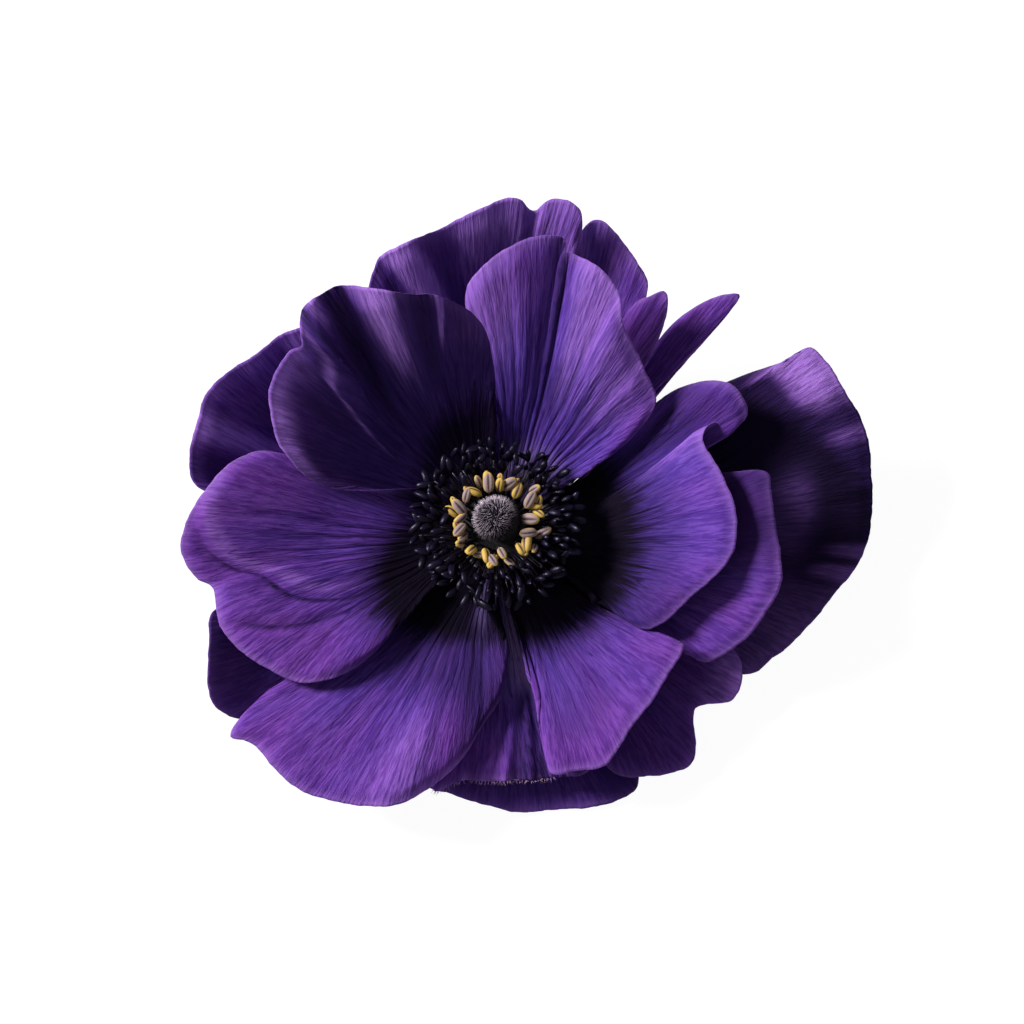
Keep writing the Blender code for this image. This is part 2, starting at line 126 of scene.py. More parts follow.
PETALS = {
    "inner_petal_northwest": dict(
        level=9, points=128, root=30, bowl=2.0, crown=0.8,
        margin=[
            (151, 10.5, 12.5), (171, 21.5, 19), (166, 28, 24), (158, 31, 26), (151, 32.5, 27.5),
            (141, 32.5, 29), (136, 34, 31), (130, 33.5, 32), (126, 32.5, 32.5), (116, 28.5, 31.5),
            (105, 27, 28.2), (95, 24.5, 24), (91, 20, 19), (90, 14, 14.3),
        ],
        folds=[
            (0.30, 0.09, 0.07, -1.3, 0.25, 0.0, 0.25), (0.535, 0.035, 0.020, 2.3, 0.24, 0.0, 0.3),
            (0.582, 0.02, 0.02, -1.6, 0.34, 0.03, 0.2), (0.66, 0.045, 0.026, 3.2, 0.62, 0.0, 0.45),
            (0.738, 0.022, 0.012, 1.2, 0.72, 0.0, 0.6),
        ],
        notches=[(0.455, 0.012, 1.0)],
        painted_bands=[
            (0.95, 0.630, 0.036, 0.03, 0.61, 0.0, 0.52, 1.2),
            (0.9, 0.742, 0.012, 0.006, 0.7, 0.0, 0.72, 1.2),
            (-0.8, 0.705, 0.028, 0.022, 0.67, 0.0, 0.5, 1.2),
            (-0.9, 0.56, 0.028, 0.026, 0.47, 0.0, 0.3, 1.2),
            (0.9, 0.526, 0.009, 0.009, 0.5, 0.0, 0.82, 1.2),
            (-0.8, 0.503, 0.012, 0.012, 0.42, 0.0, 0.55, 1.2),
            (0.7, 0.478, 0.009, 0.007, 0.3, 0.0, 0.20, 1.2),
            (0.3, 0.43, 0.025, 0.02, 0.36, 0.0, 0.8, 1.2),
            (0.25, 0.81, 0.04, 0.07, 0.78, 0.0, 0.82, 1.2),
            (-0.5, 0.405, 0.02, 0.02, 0.3, 0.0, 0.5, 0.97),
            (0.75, 0.32, 0.12, 0.075, 0.32, 0.0, 0.86, 1.2),
        ],
        stain=(11, 16.5, 0.9), dusk_and_painted_shade=(27, 34, 0.62), ruffle=0.12, pleat=0.07, roll=0.5, red=0.15,
    ),
    "inner_petal_north": dict(
        level=8, points=66, root=26, bowl=1.7, crown=0.8,
        margin=[
            (88, 14, 11.8), (96, 22.5, 15.8), (98, 28.5, 21), (93, 31.5, 25), (84, 34, 28),
            (76, 35.5, 28), (73, 34, 26.5), (67, 33, 28), (60, 31.5, 27), (55, 28.5, 25), (45, 27, 21),
            (36, 25.5, 18), (32, 20.5, 15), (31, 13, 12.4),
        ],
        folds=[
            (0.33, 0.06, 0.08, 0.35, 0.40, 0.0, 0.3), (0.463, 0.022, 0.014, -0.9, 0.50, -0.03, 0.25),
            (0.492, 0.014, 0.06, 1.0, 0.54, 0.0, 0.25), (0.66, 0.05, 0.05, 0.5, 0.6, 0.0, 0.3),
        ],
        notches=[(0.475, 0.009, 1.4)],
        painted_bands=[
            (-0.85, 0.463, 0.013, 0.028, 0.54, -0.03, 0.2, 1.2),
            (-0.3, 0.4, 0.03, 0.02, 0.47, 0.0, 0.2, 0.8), (0.35, 0.28, 0.12, 0.09, 0.36, 0.0, 0.5, 1.2),
            (0.45, 0.55, 0.042, 0.08, 0.59, 0.0, 0.35, 1.2), (0.3, 0.72, 0.1, 0.1, 0.7, 0.0, 0.45, 1.2),
            (-0.5, 0.15, 0.08, 0.06, 0.2, 0.0, 0.0, 0.85),
        ],
        stain=(9, 10, 0.35), painted_glow=(0.6, 0.35, 14, 0.8), ruffle=0.1, pleat=0.13, roll=0.45, red=0.2,
    ),
    "inner_petal_west": dict(
        level=8, points=186, root=30, bowl=1.5, crown=1.0,
        margin=[
            (160, 9, 9.5), (162, 22.5, 13.6), (163, 30.5, 16.5), (167, 34.5, 17), (173, 37, 17.2),
            (180, 39.8, 16.6), (184.5, 40.8, 15.4), (188, 40.3, 14.2), (190.8, 39.2, 13.3),
            (193, 37.6, 13), (200, 38, 13), (208, 36.5, 12), (219, 32.5, 11.2), (225, 27, 11),
            (226, 20, 10.5), (221, 12, 10),
        ],
        folds=[
            (0.36, 0.06, 0.05, 0.5, 0.4, 0.0, 0.3), (0.40, 0.02, 0.03, -0.45, 0.66, 0.153, 0.15),
            (0.50, 0.05, 0.05, 0.25, 0.66, 0.12, 0.2), (0.585, 0.015, 0.02, -0.5, 0.651, 0.098, 0.2),
            (0.80, 0.06, 0.06, 0.5, 0.8, 0.0, 0.4),
        ],
        painted_bands=[
            (-0.95, 0.4, 0.006, 0.016, 0.66, 0.153, 0.2, 0.97),
            (-0.8, 0.585, 0.005, 0.012, 0.651, 0.098, 0.25, 1.0),
            (0.3, 0.36, 0.035, 0.02, 0.62, 0.153, 0.3, 1.2),
            (-0.85, 0.22, 0.2, 0.12, 0.25, 0.0, 0.0, 0.72),
        ],
        stain=(10, 18.5, 1.0), ruffle=0.12, pleat=0.09, roll=0.5, red=0.65,
    ),
    "inner_petal_east": dict(
        level=7, points=2, root=32, bowl=1.7, crown=0.8,
        margin=[
            (30, 13.5, 12), (37, 26, 15.5), (35, 31, 17.5), (31, 34, 19.5), (27, 35.5, 19),
            (23, 35.5, 17.5), (22, 33.5, 16), (24, 30.5, 17.5), (20, 28.5, 19), (9, 29.5, 20),
            (-2, 31, 19.5), (-11, 30.5, 18), (-21, 27.5, 15.5), (-32, 25, 13), (-36, 23, 12),
            (-36, 18.5, 11.2), (-32, 12.5, 10.4),
        ],
        folds=[
            (0.25, 0.05, 0.05, -0.8, 0.28, 0.0, 0.3), (0.40, 0.035, 0.05, 1.0, 0.38, 0.0, 0.25),
            (0.60, 0.05, 0.06, 0.5, 0.55, 0.0, 0.3), (0.78, 0.05, 0.05, -0.4, 0.7, 0.0, 0.3),
        ],
        painted_bands=[
            (-0.55, 0.27, 0.05, 0.07, 0.25, 0.0, 0.1, 1.05),
            (0.3, 0.43, 0.03, 0.05, 0.42, 0.0, 0.4, 1.2), (-0.35, 0.27, 0.05, 0.05, 0.3, 0.0, 0.4, 0.9),
            (0.25, 0.31, 0.03, 0.03, 0.31, 0.0, 0.88, 1.2),
        ],
        stain=(17, 19, 1.0), dusk_and_painted_shade=(20, 25, 0.6), ruffle=0.1, pleat=0.07, roll=0.5, red=0.1,
    ),
    "inner_petal_southwest": dict(
        level=7, points=240, root=32, bowl=1.2, sag=0.3, crown=1.2,
        margin=[
            (218, 10.5, 8), (221, 22, 8), (218, 31, 8.3), (216, 38.5, 8.4), (218, 43.5, 8.4),
            (222, 42, 8.4), (232, 42.5, 8.5), (243, 40.5, 8.7), (252, 37.5, 9.2), (260, 32, 9.3),
            (266, 26, 9.0), (272, 21.5, 8.6), (275, 16, 8.4), (262, 10, 9.6),
        ],
        folds=[
            (0.42, 0.06, 0.06, 0.6, 0.45, 0.0, 0.25), (0.64, 0.07, 0.05, 1.0, 0.66, 0.0, 0.2),
            (0.79, 0.07, 0.045, -1.1, 0.78, 0.0, 0.1), (0.885, 0.02, 0.02, 0.4, 0.90, 0.0, 0.1),
        ],
        painted_bands=[
            (-0.8, 0.8, 0.06, 0.05, 0.72, 0.0, 0.1, 1.05), (0.2, 0.64, 0.06, 0.05, 0.62, 0.0, 0.5, 1.2),
        ],
        stain=(18, 14.5, 1.0), dusk_and_painted_shade=(21, 24, 0.65), painted_glow=(0.77, 0.07, 16.5, 0.7), ruffle=0.14,
        pleat=0.08, roll=0.5, red=0.5,
    ),
    "inner_petal_southeast": dict(
        level=6, points=-58, root=26, bowl=1.15, sag=0.4, crown=0.3,
        margin=[
            (-77, 12, 7.5), (-77, 23, 7.7), (-77.8, 30.5, 8.1), (-77, 33, 9), (-71, 33.5, 9.5),
            (-65, 34, 9.8), (-56, 31.5, 10.6), (-45, 30, 11.4), (-33, 29, 12.2), (-35.5, 26.5, 11.4),
            (-36, 22, 10.4), (-37, 16, 9.4), (-40, 11, 8.4),
        ],
        folds=[
            (0.20, 0.05, 0.05, 0.5, 0.2, 0.0, 0.2), (0.38, 0.05, 0.05, -0.5, 0.4, 0.0, 0.2),
            (0.60, 0.05, 0.06, 0.4, 0.6, 0.0, 0.3),
        ],
        painted_bands=[(-0.3, 0.45, 0.13, 0.13, 0.45, 0.0, 0.3, 0.93)],
        stain=(14.5, 16.5, 1.0), dusk_and_painted_shade=(17, 20, 0.6), ruffle=0.08, pleat=0.08, roll=0.25, red=0.5,
    ),
    "middle_petal_east": dict(
        level=5, points=-10, root=26, bowl=1.6, crown=0.8,
        margin=[
            (14, 12.5, 8.6), (13, 26, 13.6), (11, 31.5, 17.2), (9, 35.5, 18.5), (3, 35.5, 18.5),
            (-8, 37, 17), (-14, 37.5, 15), (-23, 36, 12), (-30, 33.5, 10), (-33, 32, 9.4),
            (-33, 29, 9.0), (-34, 22.5, 8.4), (-36, 13, 7.6),
        ],
        folds=[
            (0.36, 0.03, 0.03, -0.5, 0.4, 0.0, 0.3), (0.52, 0.05, 0.05, 0.5, 0.5, 0.0, 0.3),
            (0.72, 0.03, 0.03, -0.6, 0.7, 0.0, 0.3), (0.80, 0.03, 0.03, 0.4, 0.78, 0.0, 0.3),
        ],
        painted_bands=[(-0.5, 0.39, 0.12, 0.10, 0.42, 0.0, 0.2, 1.1)],
        stain=(18, 18, 1.0), dusk_and_painted_shade=(60, 14, 0.5), ruffle=0.18, pleat=0.08, roll=0.4, red=0.45,
    ),
    "middle_petal_south": dict(
        level=5, points=-88, root=26, bowl=1.0, crown=0.2,
        margin=[
            (-110, 10, 5.8), (-104, 21.5, 5.4), (-104, 34, 5.4), (-98, 32.5, 5.4), (-88, 32.3, 5.2),
            (-78, 32.5, 5.2), (-68, 33, 6.2), (-62, 24, 7.0), (-66, 11, 6.5),
        ],
        folds=[
            (0.36, 0.010, 0.014, 0.4, 0.45, 0.0, 0.1), (0.415, 0.012, 0.010, 0.5, 0.50, 0.0, 0.1),
            (0.455, 0.014, 0.010, 0.6, 0.55, 0.0, 0.1), (0.50, 0.012, 0.012, 0.6, 0.59, 0.0, 0.1),
            (0.545, 0.010, 0.012, 0.6, 0.63, 0.0, 0.1), (0.60, 0.014, 0.012, 0.5, 0.68, 0.0, 0.1),
        ],
        painted_bands=[
            (-0.95, 0.56, 0.05, 0.09, 0.60, 0.0, 0.45, 1.2),
            (1.0, 0.60, 0.10, 0.12, 0.66, 0.0, 0.0, 0.62),
        ],
        stain=(10, 10, 0.3), painted_glow=(0.64, 0.13, 24, 1.0), fringe=(0.36, 0.60), ruffle=0.12, pleat=0.16,
        roll=0.3, red=0.4,
    ),
    "outer_petal_north": dict(
        level=4, points=97, root=24, bowl=2.2, sag=3.2, crown=0.8,
        margin=[
            (112, 12, 5.9), (121, 24.5, 10), (120, 33, 18), (116, 36, 21), (112, 37, 22), (100, 38, 23),
            (90, 40.5, 24), (86, 41, 24), (83, 40, 22.5), (80, 41.5, 24), (76, 41.5, 24),
            (73.5, 39.5, 22), (72.5, 33, 15.8), (77.5, 17, 8.2),
        ],
        folds=[
            (0.40, 0.045, 0.03, 2.8, 0.42, 0.0, 0.3), (0.50, 0.04, 0.04, 0.4, 0.5, 0.0, 0.4),
            (0.60, 0.012, 0.012, -0.9, 0.6, 0.0, 0.5), (0.69, 0.03, 0.03, 0.6, 0.68, 0.0, 0.4),
        ],
        painted_bands=[
            (1.2, 0.375, 0.030, 0.026, 0.56, 0.0, 0.45, 1.2),
            (-0.6, 0.425, 0.02, 0.03, 0.56, 0.0, 0.4, 1.2),
            (-0.6, 0.336, 0.012, 0.018, 0.5, 0.0, 0.6, 1.2),
            (0.35, 0.52, 0.06, 0.05, 0.55, 0.0, 0.86, 1.2), (0.35, 0.56, 0.2, 0.2, 0.56, 0.0, 0.2, 1.2),
        ],
        ruffle=0.12, pleat=0.08, roll=0.4, red=0.35,
    ),
    "outer_petal_northwest": dict(
        level=4, points=155, root=26, bowl=1.9, sag=5.9, crown=0.8,
        margin=[
            (174, 10.5, 6), (173, 26, 7.5), (173, 37, 11.5), (170, 40.5, 13), (162, 41, 15.5),
            (155, 41, 17), (146, 38, 18.5), (138, 36.5, 19), (134, 33.5, 18), (133, 24, 10.5),
            (136, 12, 6.2),
        ],
        folds=[
            (0.36, 0.03, 0.03, 0.7, 0.4, 0.0, 0.3), (0.46, 0.02, 0.03, -0.9, 0.47, 0.0, 0.3),
            (0.53, 0.03, 0.02, 1.1, 0.53, 0.0, 0.3), (0.66, 0.03, 0.03, -0.6, 0.6, 0.0, 0.3),
        ],
        painted_bands=[
            (1.0, 0.448, 0.022, 0.028, 0.53, 0.0, 0.35, 1.2),
            (-0.65, 0.385, 0.03, 0.03, 0.47, 0.0, 0.3, 1.2),
            (-0.4, 0.54, 0.05, 0.05, 0.56, 0.0, 0.3, 0.96),
            (0.5, 0.655, 0.02, 0.03, 0.66, 0.0, 0.85, 1.2),
            (0.35, 0.33, 0.03, 0.03, 0.34, 0.0, 0.85, 1.2),
        ],
        ruffle=0.16, pleat=0.08, roll=0.4, red=0.45,
    ),
    "outer_petal_southeast": dict(
        level=4, points=-44, root=26, bowl=1.3, sag=0.4, crown=0.6,
        margin=[
            (-22, 12, 6.1), (-22, 27, 7.4), (-26, 34, 7.8), (-30, 37, 6.6), (-35, 37.5, 5),
            (-40, 34.5, 4.6), (-43, 35, 4.8), (-46, 37.5, 3.8), (-50, 39, 3), (-57, 37, 2.8),
            (-64, 34, 3.8), (-68, 23, 4.9), (-66, 12, 5.6),
        ],
        folds=[(0.45, 0.03, 0.03, -0.5, 0.45, 0.0, 0.3), (0.55, 0.03, 0.03, 0.4, 0.55, 0.0, 0.3)],
        painted_bands=[(0.5, 0.36, 0.06, 0.07, 0.36, 0.0, 0.82, 1.2)],
        dusk_and_painted_shade=(60, 60, 0.35), ruffle=0.15, pleat=0.08, roll=0.3, red=0.5,
    ),
    "narrow_petal_north": dict(
        level=5, points=54, root=9, bowl=1.7, crown=0.2,
        margin=[
            (59, 15.5, 8), (59, 32.5, 14), (56, 36, 17), (54, 37.5, 17.5), (52, 36.5, 17),
            (50, 33.5, 13.7), (48, 28, 11), (47, 15, 8),
        ],
        folds=[(0.5, 0.1, 0.1, -0.6, 0.5, 0.0, 0.2)],
        ruffle=0.06, pleat=0.04, roll=0.2, red=0.6,
    ),
    "outer_petal_northeast": dict(
        level=3, points=62, root=14, bowl=2.2, sag=4.2, crown=0.6,
        margin=[
            (74.5, 15, 3.6), (74.5, 28, 7.4), (74, 38.5, 18), (71, 41.5, 20), (65, 40, 19),
            (59, 38, 16.5), (57, 36, 14.7), (54, 31, 11), (51, 16, 5.6),
        ],
        folds=[(0.42, 0.04, 0.03, 0.8, 0.45, 0.0, 0.3), (0.55, 0.03, 0.03, -0.4, 0.55, 0.0, 0.3)],
        painted_bands=[(0.25, 0.45, 0.12, 0.12, 0.47, 0.0, 0.4, 1.2)],
        ruffle=0.1, pleat=0.07, roll=0.4, red=0.3,
    ),
    "outer_petal_southwest": dict(
        level=3, points=208, root=26, bowl=3.4, sag=2.6, crown=0.0,
        margin=[
            (192, 11, 4.6), (195, 26.5, 6), (196, 37.5, 10), (202, 40, 11), (211, 43, 9), (215, 42, 7),
            (217, 39.5, 5.6), (219, 33, 4.0), (225, 12, 4.6),
        ],
        folds=[(0.5, 0.04, 0.04, 0.5, 0.5, 0.0, 0.4)],
        dusk_and_painted_shade=(44, 44, 0.55), ruffle=0.15, pleat=0.08, roll=0.2, red=0.4,
    ),
    "outer_petal_south": dict(
        level=3, points=-82, root=26, bowl=1.0, sag=0.5, crown=0.7,
        margin=[
            (-112, 11, 4.8), (-110, 25.5, 4.2), (-107, 33, 3.3), (-99, 34, 2.6), (-87, 35.5, 1.3),
            (-77, 36, 0.6), (-70, 37, 0.7), (-60, 37, 1.0), (-58, 30, 1.8), (-60, 13, 3.6),
        ],
        folds=[(0.4, 0.03, 0.03, 0.3, 0.4, 0.0, 0.3), (0.6, 0.03, 0.03, 0.3, 0.6, 0.0, 0.3)],
        painted_bands=[
            (-1.0, 0.2, 0.2, 0.12, 0.2, 0.0, 0.0, 1.2), (-1.0, 0.78, 0.14, 0.3, 0.78, 0.0, 0.0, 1.2),
        ],
        dusk_and_painted_shade=(60, 60, 0.35), ruffle=0.1, pleat=0.08, roll=0.2, red=0.1,
    ),
    "outer_petal_east": dict(
        level=2, points=4, root=30, bowl=0.9, sag=-0.5, crown=0.8,
        margin=[
            (33, 14.5, 5), (36, 23.5, 8.5), (33, 35, 12.5), (30, 43.5, 14.5), (30, 47, 15),
            (28, 48, 14.8), (21, 49, 14), (15, 50, 12.2), (5, 49.5, 8.6), (-3, 48, 5.5), (-9, 45, 5),
            (-17, 42, 4.5), (-23, 39.5, 4), (-29, 36.5, 3.6), (-31, 25, 2.6), (-22, 13, 3.4),
        ],
        folds=[
            (0.42, 0.03, 0.03, -0.3, 0.4, 0.0, 0.3), (0.58, 0.02, 0.02, 0.4, 0.55, 0.0, 0.5),
            (0.68, 0.02, 0.02, 0.5, 0.65, 0.0, 0.5),
        ],
        painted_bands=[
            (1.1, 0.335, 0.08, 0.055, 0.33, 0.0, 0.80, 1.2),
            (0.45, 0.428, 0.014, 0.018, 0.4, 0.0, 0.82, 1.2),
            (0.5, 0.575, 0.012, 0.012, 0.57, 0.0, 0.84, 1.2),
            (0.6, 0.605, 0.011, 0.013, 0.6, 0.0, 0.84, 1.2),
            (0.6, 0.72, 0.12, 0.2, 0.72, 0.0, 0.2, 1.2), (0.5, 0.52, 0.10, 0.10, 0.52, 0.0, 0.1, 0.92),
        ],
        # Painted shade: the stain and the deep violet cover most of this petal, which lies in the shadow of
        # the petals above it; the bands keep its rim lit.
        stain=(34, 64, 0.75), dusk_and_painted_shade=(62, 62, 0.95), ruffle=0.18, pleat=0.08, roll=0.3, red=0.45,
    ),
    "narrow_petal_northeast": dict(
        level=1, points=43, root=6, bowl=1.5, crown=0.2,
        margin=[
            (46, 16, 2.6), (48.5, 25.5, 4.8), (50.5, 34.5, 10.2), (48, 40.5, 13.5), (44, 44.5, 14.5),
            (43.5, 40, 11.5), (43, 33.5, 9.2), (42, 27, 6.4), (41.5, 16.5, 3.2),
        ],
        folds=[(0.5, 0.1, 0.1, -0.4, 0.5, 0.0, 0.2)],
        ruffle=0.05, pleat=0.04, roll=0.1, red=0.6,
    ),
}

# Every ring of stamens: the solid that it stands for, how many, the anther's middle as (distance
# from the axis, height), how far it tilts up from level in degrees, and the anther's half length,
# half width and half depth.
STAMEN_RINGS = [
    dict(node="inner_stamens", count=20, middle=(4.9, 15.9), tilt=20, anther=(1.25, 0.66, 0.50),
         pale=1.0),
    dict(node="inner_stamens", count=19, middle=(5.7, 15.3), tilt=34, anther=(1.15, 0.52, 0.44),
         pale=0.8),
    dict(node="middle_stamens", count=30, middle=(7.0, 15.2), tilt=48, anther=(1.12, 0.46, 0.42),
         pale=0.12),
    dict(node="middle_stamens", count=36, middle=(8.2, 14.8), tilt=40, anther=(1.15, 0.46, 0.41),
         pale=0.04),
    dict(node="outer_stamens", count=44, middle=(9.4, 14.2), tilt=34, anther=(1.18, 0.47, 0.41),
         pale=0.0),
    dict(node="outer_stamens", count=46, middle=(10.6, 13.6), tilt=24, anther=(1.18, 0.45, 0.40),
         pale=0.0),
]
# Each whorl's object and slot.
STAMEN_OBJECTS = {
    "inner_stamens": ("pale_stamens", "anther_cream"),
    "middle_stamens": ("dark_stamens", "stamen_dark"),
    "outer_stamens": ("outermost_stamens", "stamen_dark"),
}


# ---------------------------------------------------------------------------------------------------
# Arrays
# ---------------------------------------------------------------------------------------------------


def unit(vectors):
    return vectors / np.linalg.norm(vectors, axis=-1, keepdims=True)


def smoothstep(low, high, value):
    """0 below low, 1 above high, and an S-curve between them."""
    t = np.clip((value - low) / (high - low), 0, 1)
    return t * t * (3 - 2 * t)


def polar(azimuth, reach):
    """A point over the floor, from its azimuth in degrees and its distance from the flower's axis."""
    angle = np.radians(azimuth)
    return np.stack([reach * np.cos(angle), reach * np.sin(angle)], axis=-1)


def wander(at, wavelength, draw, octaves=3):
    """An uneven wave of about that wavelength and a height of about 1: sines of shorter and shorter
    wavelength and lesser height, each with a phase of its own from the generator draw."""
    total = 0
    for octave in range(octaves):
        phase = draw.uniform(0, 2 * np.pi)
        total = total + 0.6**octave * np.sin(2 * np.pi * at * 1.83**octave / wavelength + phase)
    return total / 1.4


def smooth_curve(points, count):
    """Evenly spaced points on a Catmull-Rom curve through the given ones, and the curve's length."""
    padded = np.vstack([2 * points[0] - points[1], points, 2 * points[-1] - points[-2]])
    t = np.linspace(0, 1, 24, endpoint=False)[:, None]
    pieces = []
    for a, b, c, d in zip(padded, padded[1:], padded[2:], padded[3:]):
        square = (2 * a - 5 * b + 4 * c - d) * t**2
        cube = (3 * b - a - 3 * c + d) * t**3
        pieces.append(0.5 * (2 * b + (c - a) * t + square + cube))
    fine = np.vstack([*pieces, points[-1:]])
    length = np.concatenate([[0], np.cumsum(np.linalg.norm(np.diff(fine, axis=0), axis=1))])
    at = np.linspace(0, length[-1], count)
    return np.stack([np.interp(at, length, fine[:, k]) for k in range(3)], axis=-1), length[-1]


def normals_of(surface):
    """Unit normals of a grid of points, on its upper side."""
    across = np.gradient(surface, axis=0)
    along = np.gradient(surface, axis=1)
    normal = unit(np.cross(along, across))
    return normal * np.sign(normal[..., 2:].mean())


def grid_quads(index):
    """The quads between neighbours in a grid of point numbers."""
    corners = [index[:-1, :-1], index[1:, :-1], index[1:, 1:], index[:-1, 1:]]
    return np.stack(corners, axis=-1).reshape(-1, 4)


def closed_sheet(upper, lower):
    """A closed skin from two grids of points that lie over each other, and a strip round them."""
    columns, rows = upper.shape[:2]
    count = columns * rows
    top = np.arange(count).reshape(columns, rows)
    bottom = top + count
    rim = np.concatenate([top[:-1, 0], top[-1, :-1], top[:0:-1, -1], top[0, :0:-1]])
    rim_below = rim + count
    strip = np.stack([rim, rim_below, np.roll(rim_below, -1), np.roll(rim, -1)], axis=-1)
    quads = np.concatenate([grid_quads(top), grid_quads(bottom)[:, ::-1], strip])
    first = upper[1, 0] - upper[0, 0]
    second = upper[0, 1] - upper[0, 0]
    if np.cross(first, second)[2] < 0:
        quads = quads[:, ::-1]
    return np.concatenate([upper.reshape(-1, 3), lower.reshape(-1, 3)]), quads


def lofts(rings):
    """Closed bodies, one for each item, from rings of points (items, stations, sides, 3): quads between
    neighbouring rings, and a fan to a middle point over each end ring. The rings turn anticlockwise
    seen from the last one."""
    items, stations, sides = rings.shape[:3]
    index = np.arange(items * stations * sides).reshape(items, stations, sides)
    following = np.roll(index, -1, axis=2)
    quads = np.stack([index[:, :-1], following[:, :-1], following[:, 1:], index[:, 1:]], axis=-1)
    middles = rings[:, [0, -1]].mean(axis=2)
    first = items * stations * sides + 2 * np.arange(items)[:, None] + np.zeros(sides, int)
    foot = np.stack([first, following[:, 0], index[:, 0]], axis=-1)
    head = np.stack([first + 1, index[:, -1], following[:, -1]], axis=-1)
    fans = np.concatenate([foot.reshape(-1, 3), head.reshape(-1, 3)])
    return np.concatenate([rings.reshape(-1, 3), middles.reshape(-1, 3)]), [quads.reshape(-1, 4), fans]


def spread(values, stations, sides):
    """One value an item, given to every point of its loft: those of its rings, then its two middles."""
    values = np.asarray(values, float)
    return np.concatenate([np.repeat(values, stations * sides), np.repeat(values, 2)])


def ring_frames(path):
    """Two unit vectors square to each path (items, stations, 3) and to each other, at each point."""
    along = unit(np.gradient(path, axis=1))
    helper = np.where(np.abs(along[..., 2:]) < 0.9, [0.0, 0.0, 1.0], [1.0, 0.0, 0.0])
    side = unit(np.cross(helper, along))
    return side, np.cross(along, side)


def tubes(path, radius, sides):
    """Rings of that radius (items, stations) round paths (items, stations, 3)."""
    side, other = ring_frames(path)
    angle = 2 * np.pi * np.arange(sides) / sides
    across = np.cos(angle)[:, None] * side[:, :, None] + np.sin(angle)[:, None] * other[:, :, None]
    return path[:, :, None] + radius[..., None, None] * across


def bezier(start, bend, end, stations):
    """Points on quadratic curves (items, stations, 3) from start to end, drawn towards bend."""
    t = np.linspace(0, 1, stations)[None, :, None]
    return (1 - t) ** 2 * start[:, None] + 2 * t * (1 - t) * bend[:, None] + t**2 * end[:, None]


# ---------------------------------------------------------------------------------------------------
# Meshes and pieces
# ---------------------------------------------------------------------------------------------------


def make_mesh(name, points, faces):
    """A smooth-shaded mesh from points about the flower's axis, in millimetres, and arrays of faces."""
    mesh = bpy.data.meshes.new(name)
    points = (points + np.array([AXIS[0], AXIS[1], 0.0])) * MM
    mesh.vertices.add(len(points))
    mesh.vertices.foreach_set("co", points.astype(np.float32).ravel())
    corners = np.concatenate([part.ravel() for part in faces])
    sizes = np.concatenate([np.full(len(part), part.shape[1]) for part in faces])
    mesh.loops.add(len(corners))
    mesh.loops.foreach_set("vertex_index", corners.astype(np.int32))
    mesh.polygons.add(len(sizes))
    starts = np.concatenate([[0], np.cumsum(sizes)[:-1]])
    mesh.polygons.foreach_set("loop_start", starts.astype(np.int32))
    mesh.update(calc_edges=True)
    mesh.validate()
    mesh.shade_smooth()
    return mesh


def give_attribute(mesh, name, values):
    """A number for every point, which the materials read by name."""
    attribute = mesh.attributes.new(name, "FLOAT", "POINT")
    attribute.data.foreach_set("value", np.asarray(values, np.float32).ravel())


def give_uv(mesh, name, across, along):
    """A UV map from two numbers for every point."""
    layer = mesh.uv_layers.new(name=name)
    corner = np.empty(len(mesh.loops), np.int32)
    mesh.loops.foreach_get("vertex_index", corner)
    pairs = np.stack([across.ravel()[corner], along.ravel()[corner]], axis=-1)
    layer.uv.foreach_set("vector", pairs.astype(np.float32).ravel())


def downy_mesh(name, skin_points, skin_faces, tufts):
    """A skin, in the piece's first finish, with hairs, in its second. tufts is what hairs returns."""
    hair_points, hair_faces, along, shade = tufts
    start = len(skin_points)
    faces = skin_faces + [part + start for part in hair_faces]
    mesh = make_mesh(name, np.concatenate([skin_points, hair_points]), faces)
    counts = [sum(len(part) for part in group) for group in (skin_faces, hair_faces)]
    mesh.polygons.foreach_set("material_index", np.repeat([0, 1], counts).astype(np.int32))
    give_attribute(mesh, "along", np.concatenate([np.zeros(start), along]))
    give_attribute(mesh, "shade", np.concatenate([np.zeros(start), shade]))
    return mesh


def add_piece(name, mesh, finishes, node):
    """Puts a mesh in the scene as the piece that stands for a solid of the frame."""
    piece = bpy.data.objects.new(name, mesh)
    bpy.context.scene.collection.objects.link(piece)
    for finish in finishes:
        mesh.materials.append(finish)
    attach(piece, "root")
    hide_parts(node)
    return piece


# ---------------------------------------------------------------------------------------------------
# Finishes
# ---------------------------------------------------------------------------------------------------


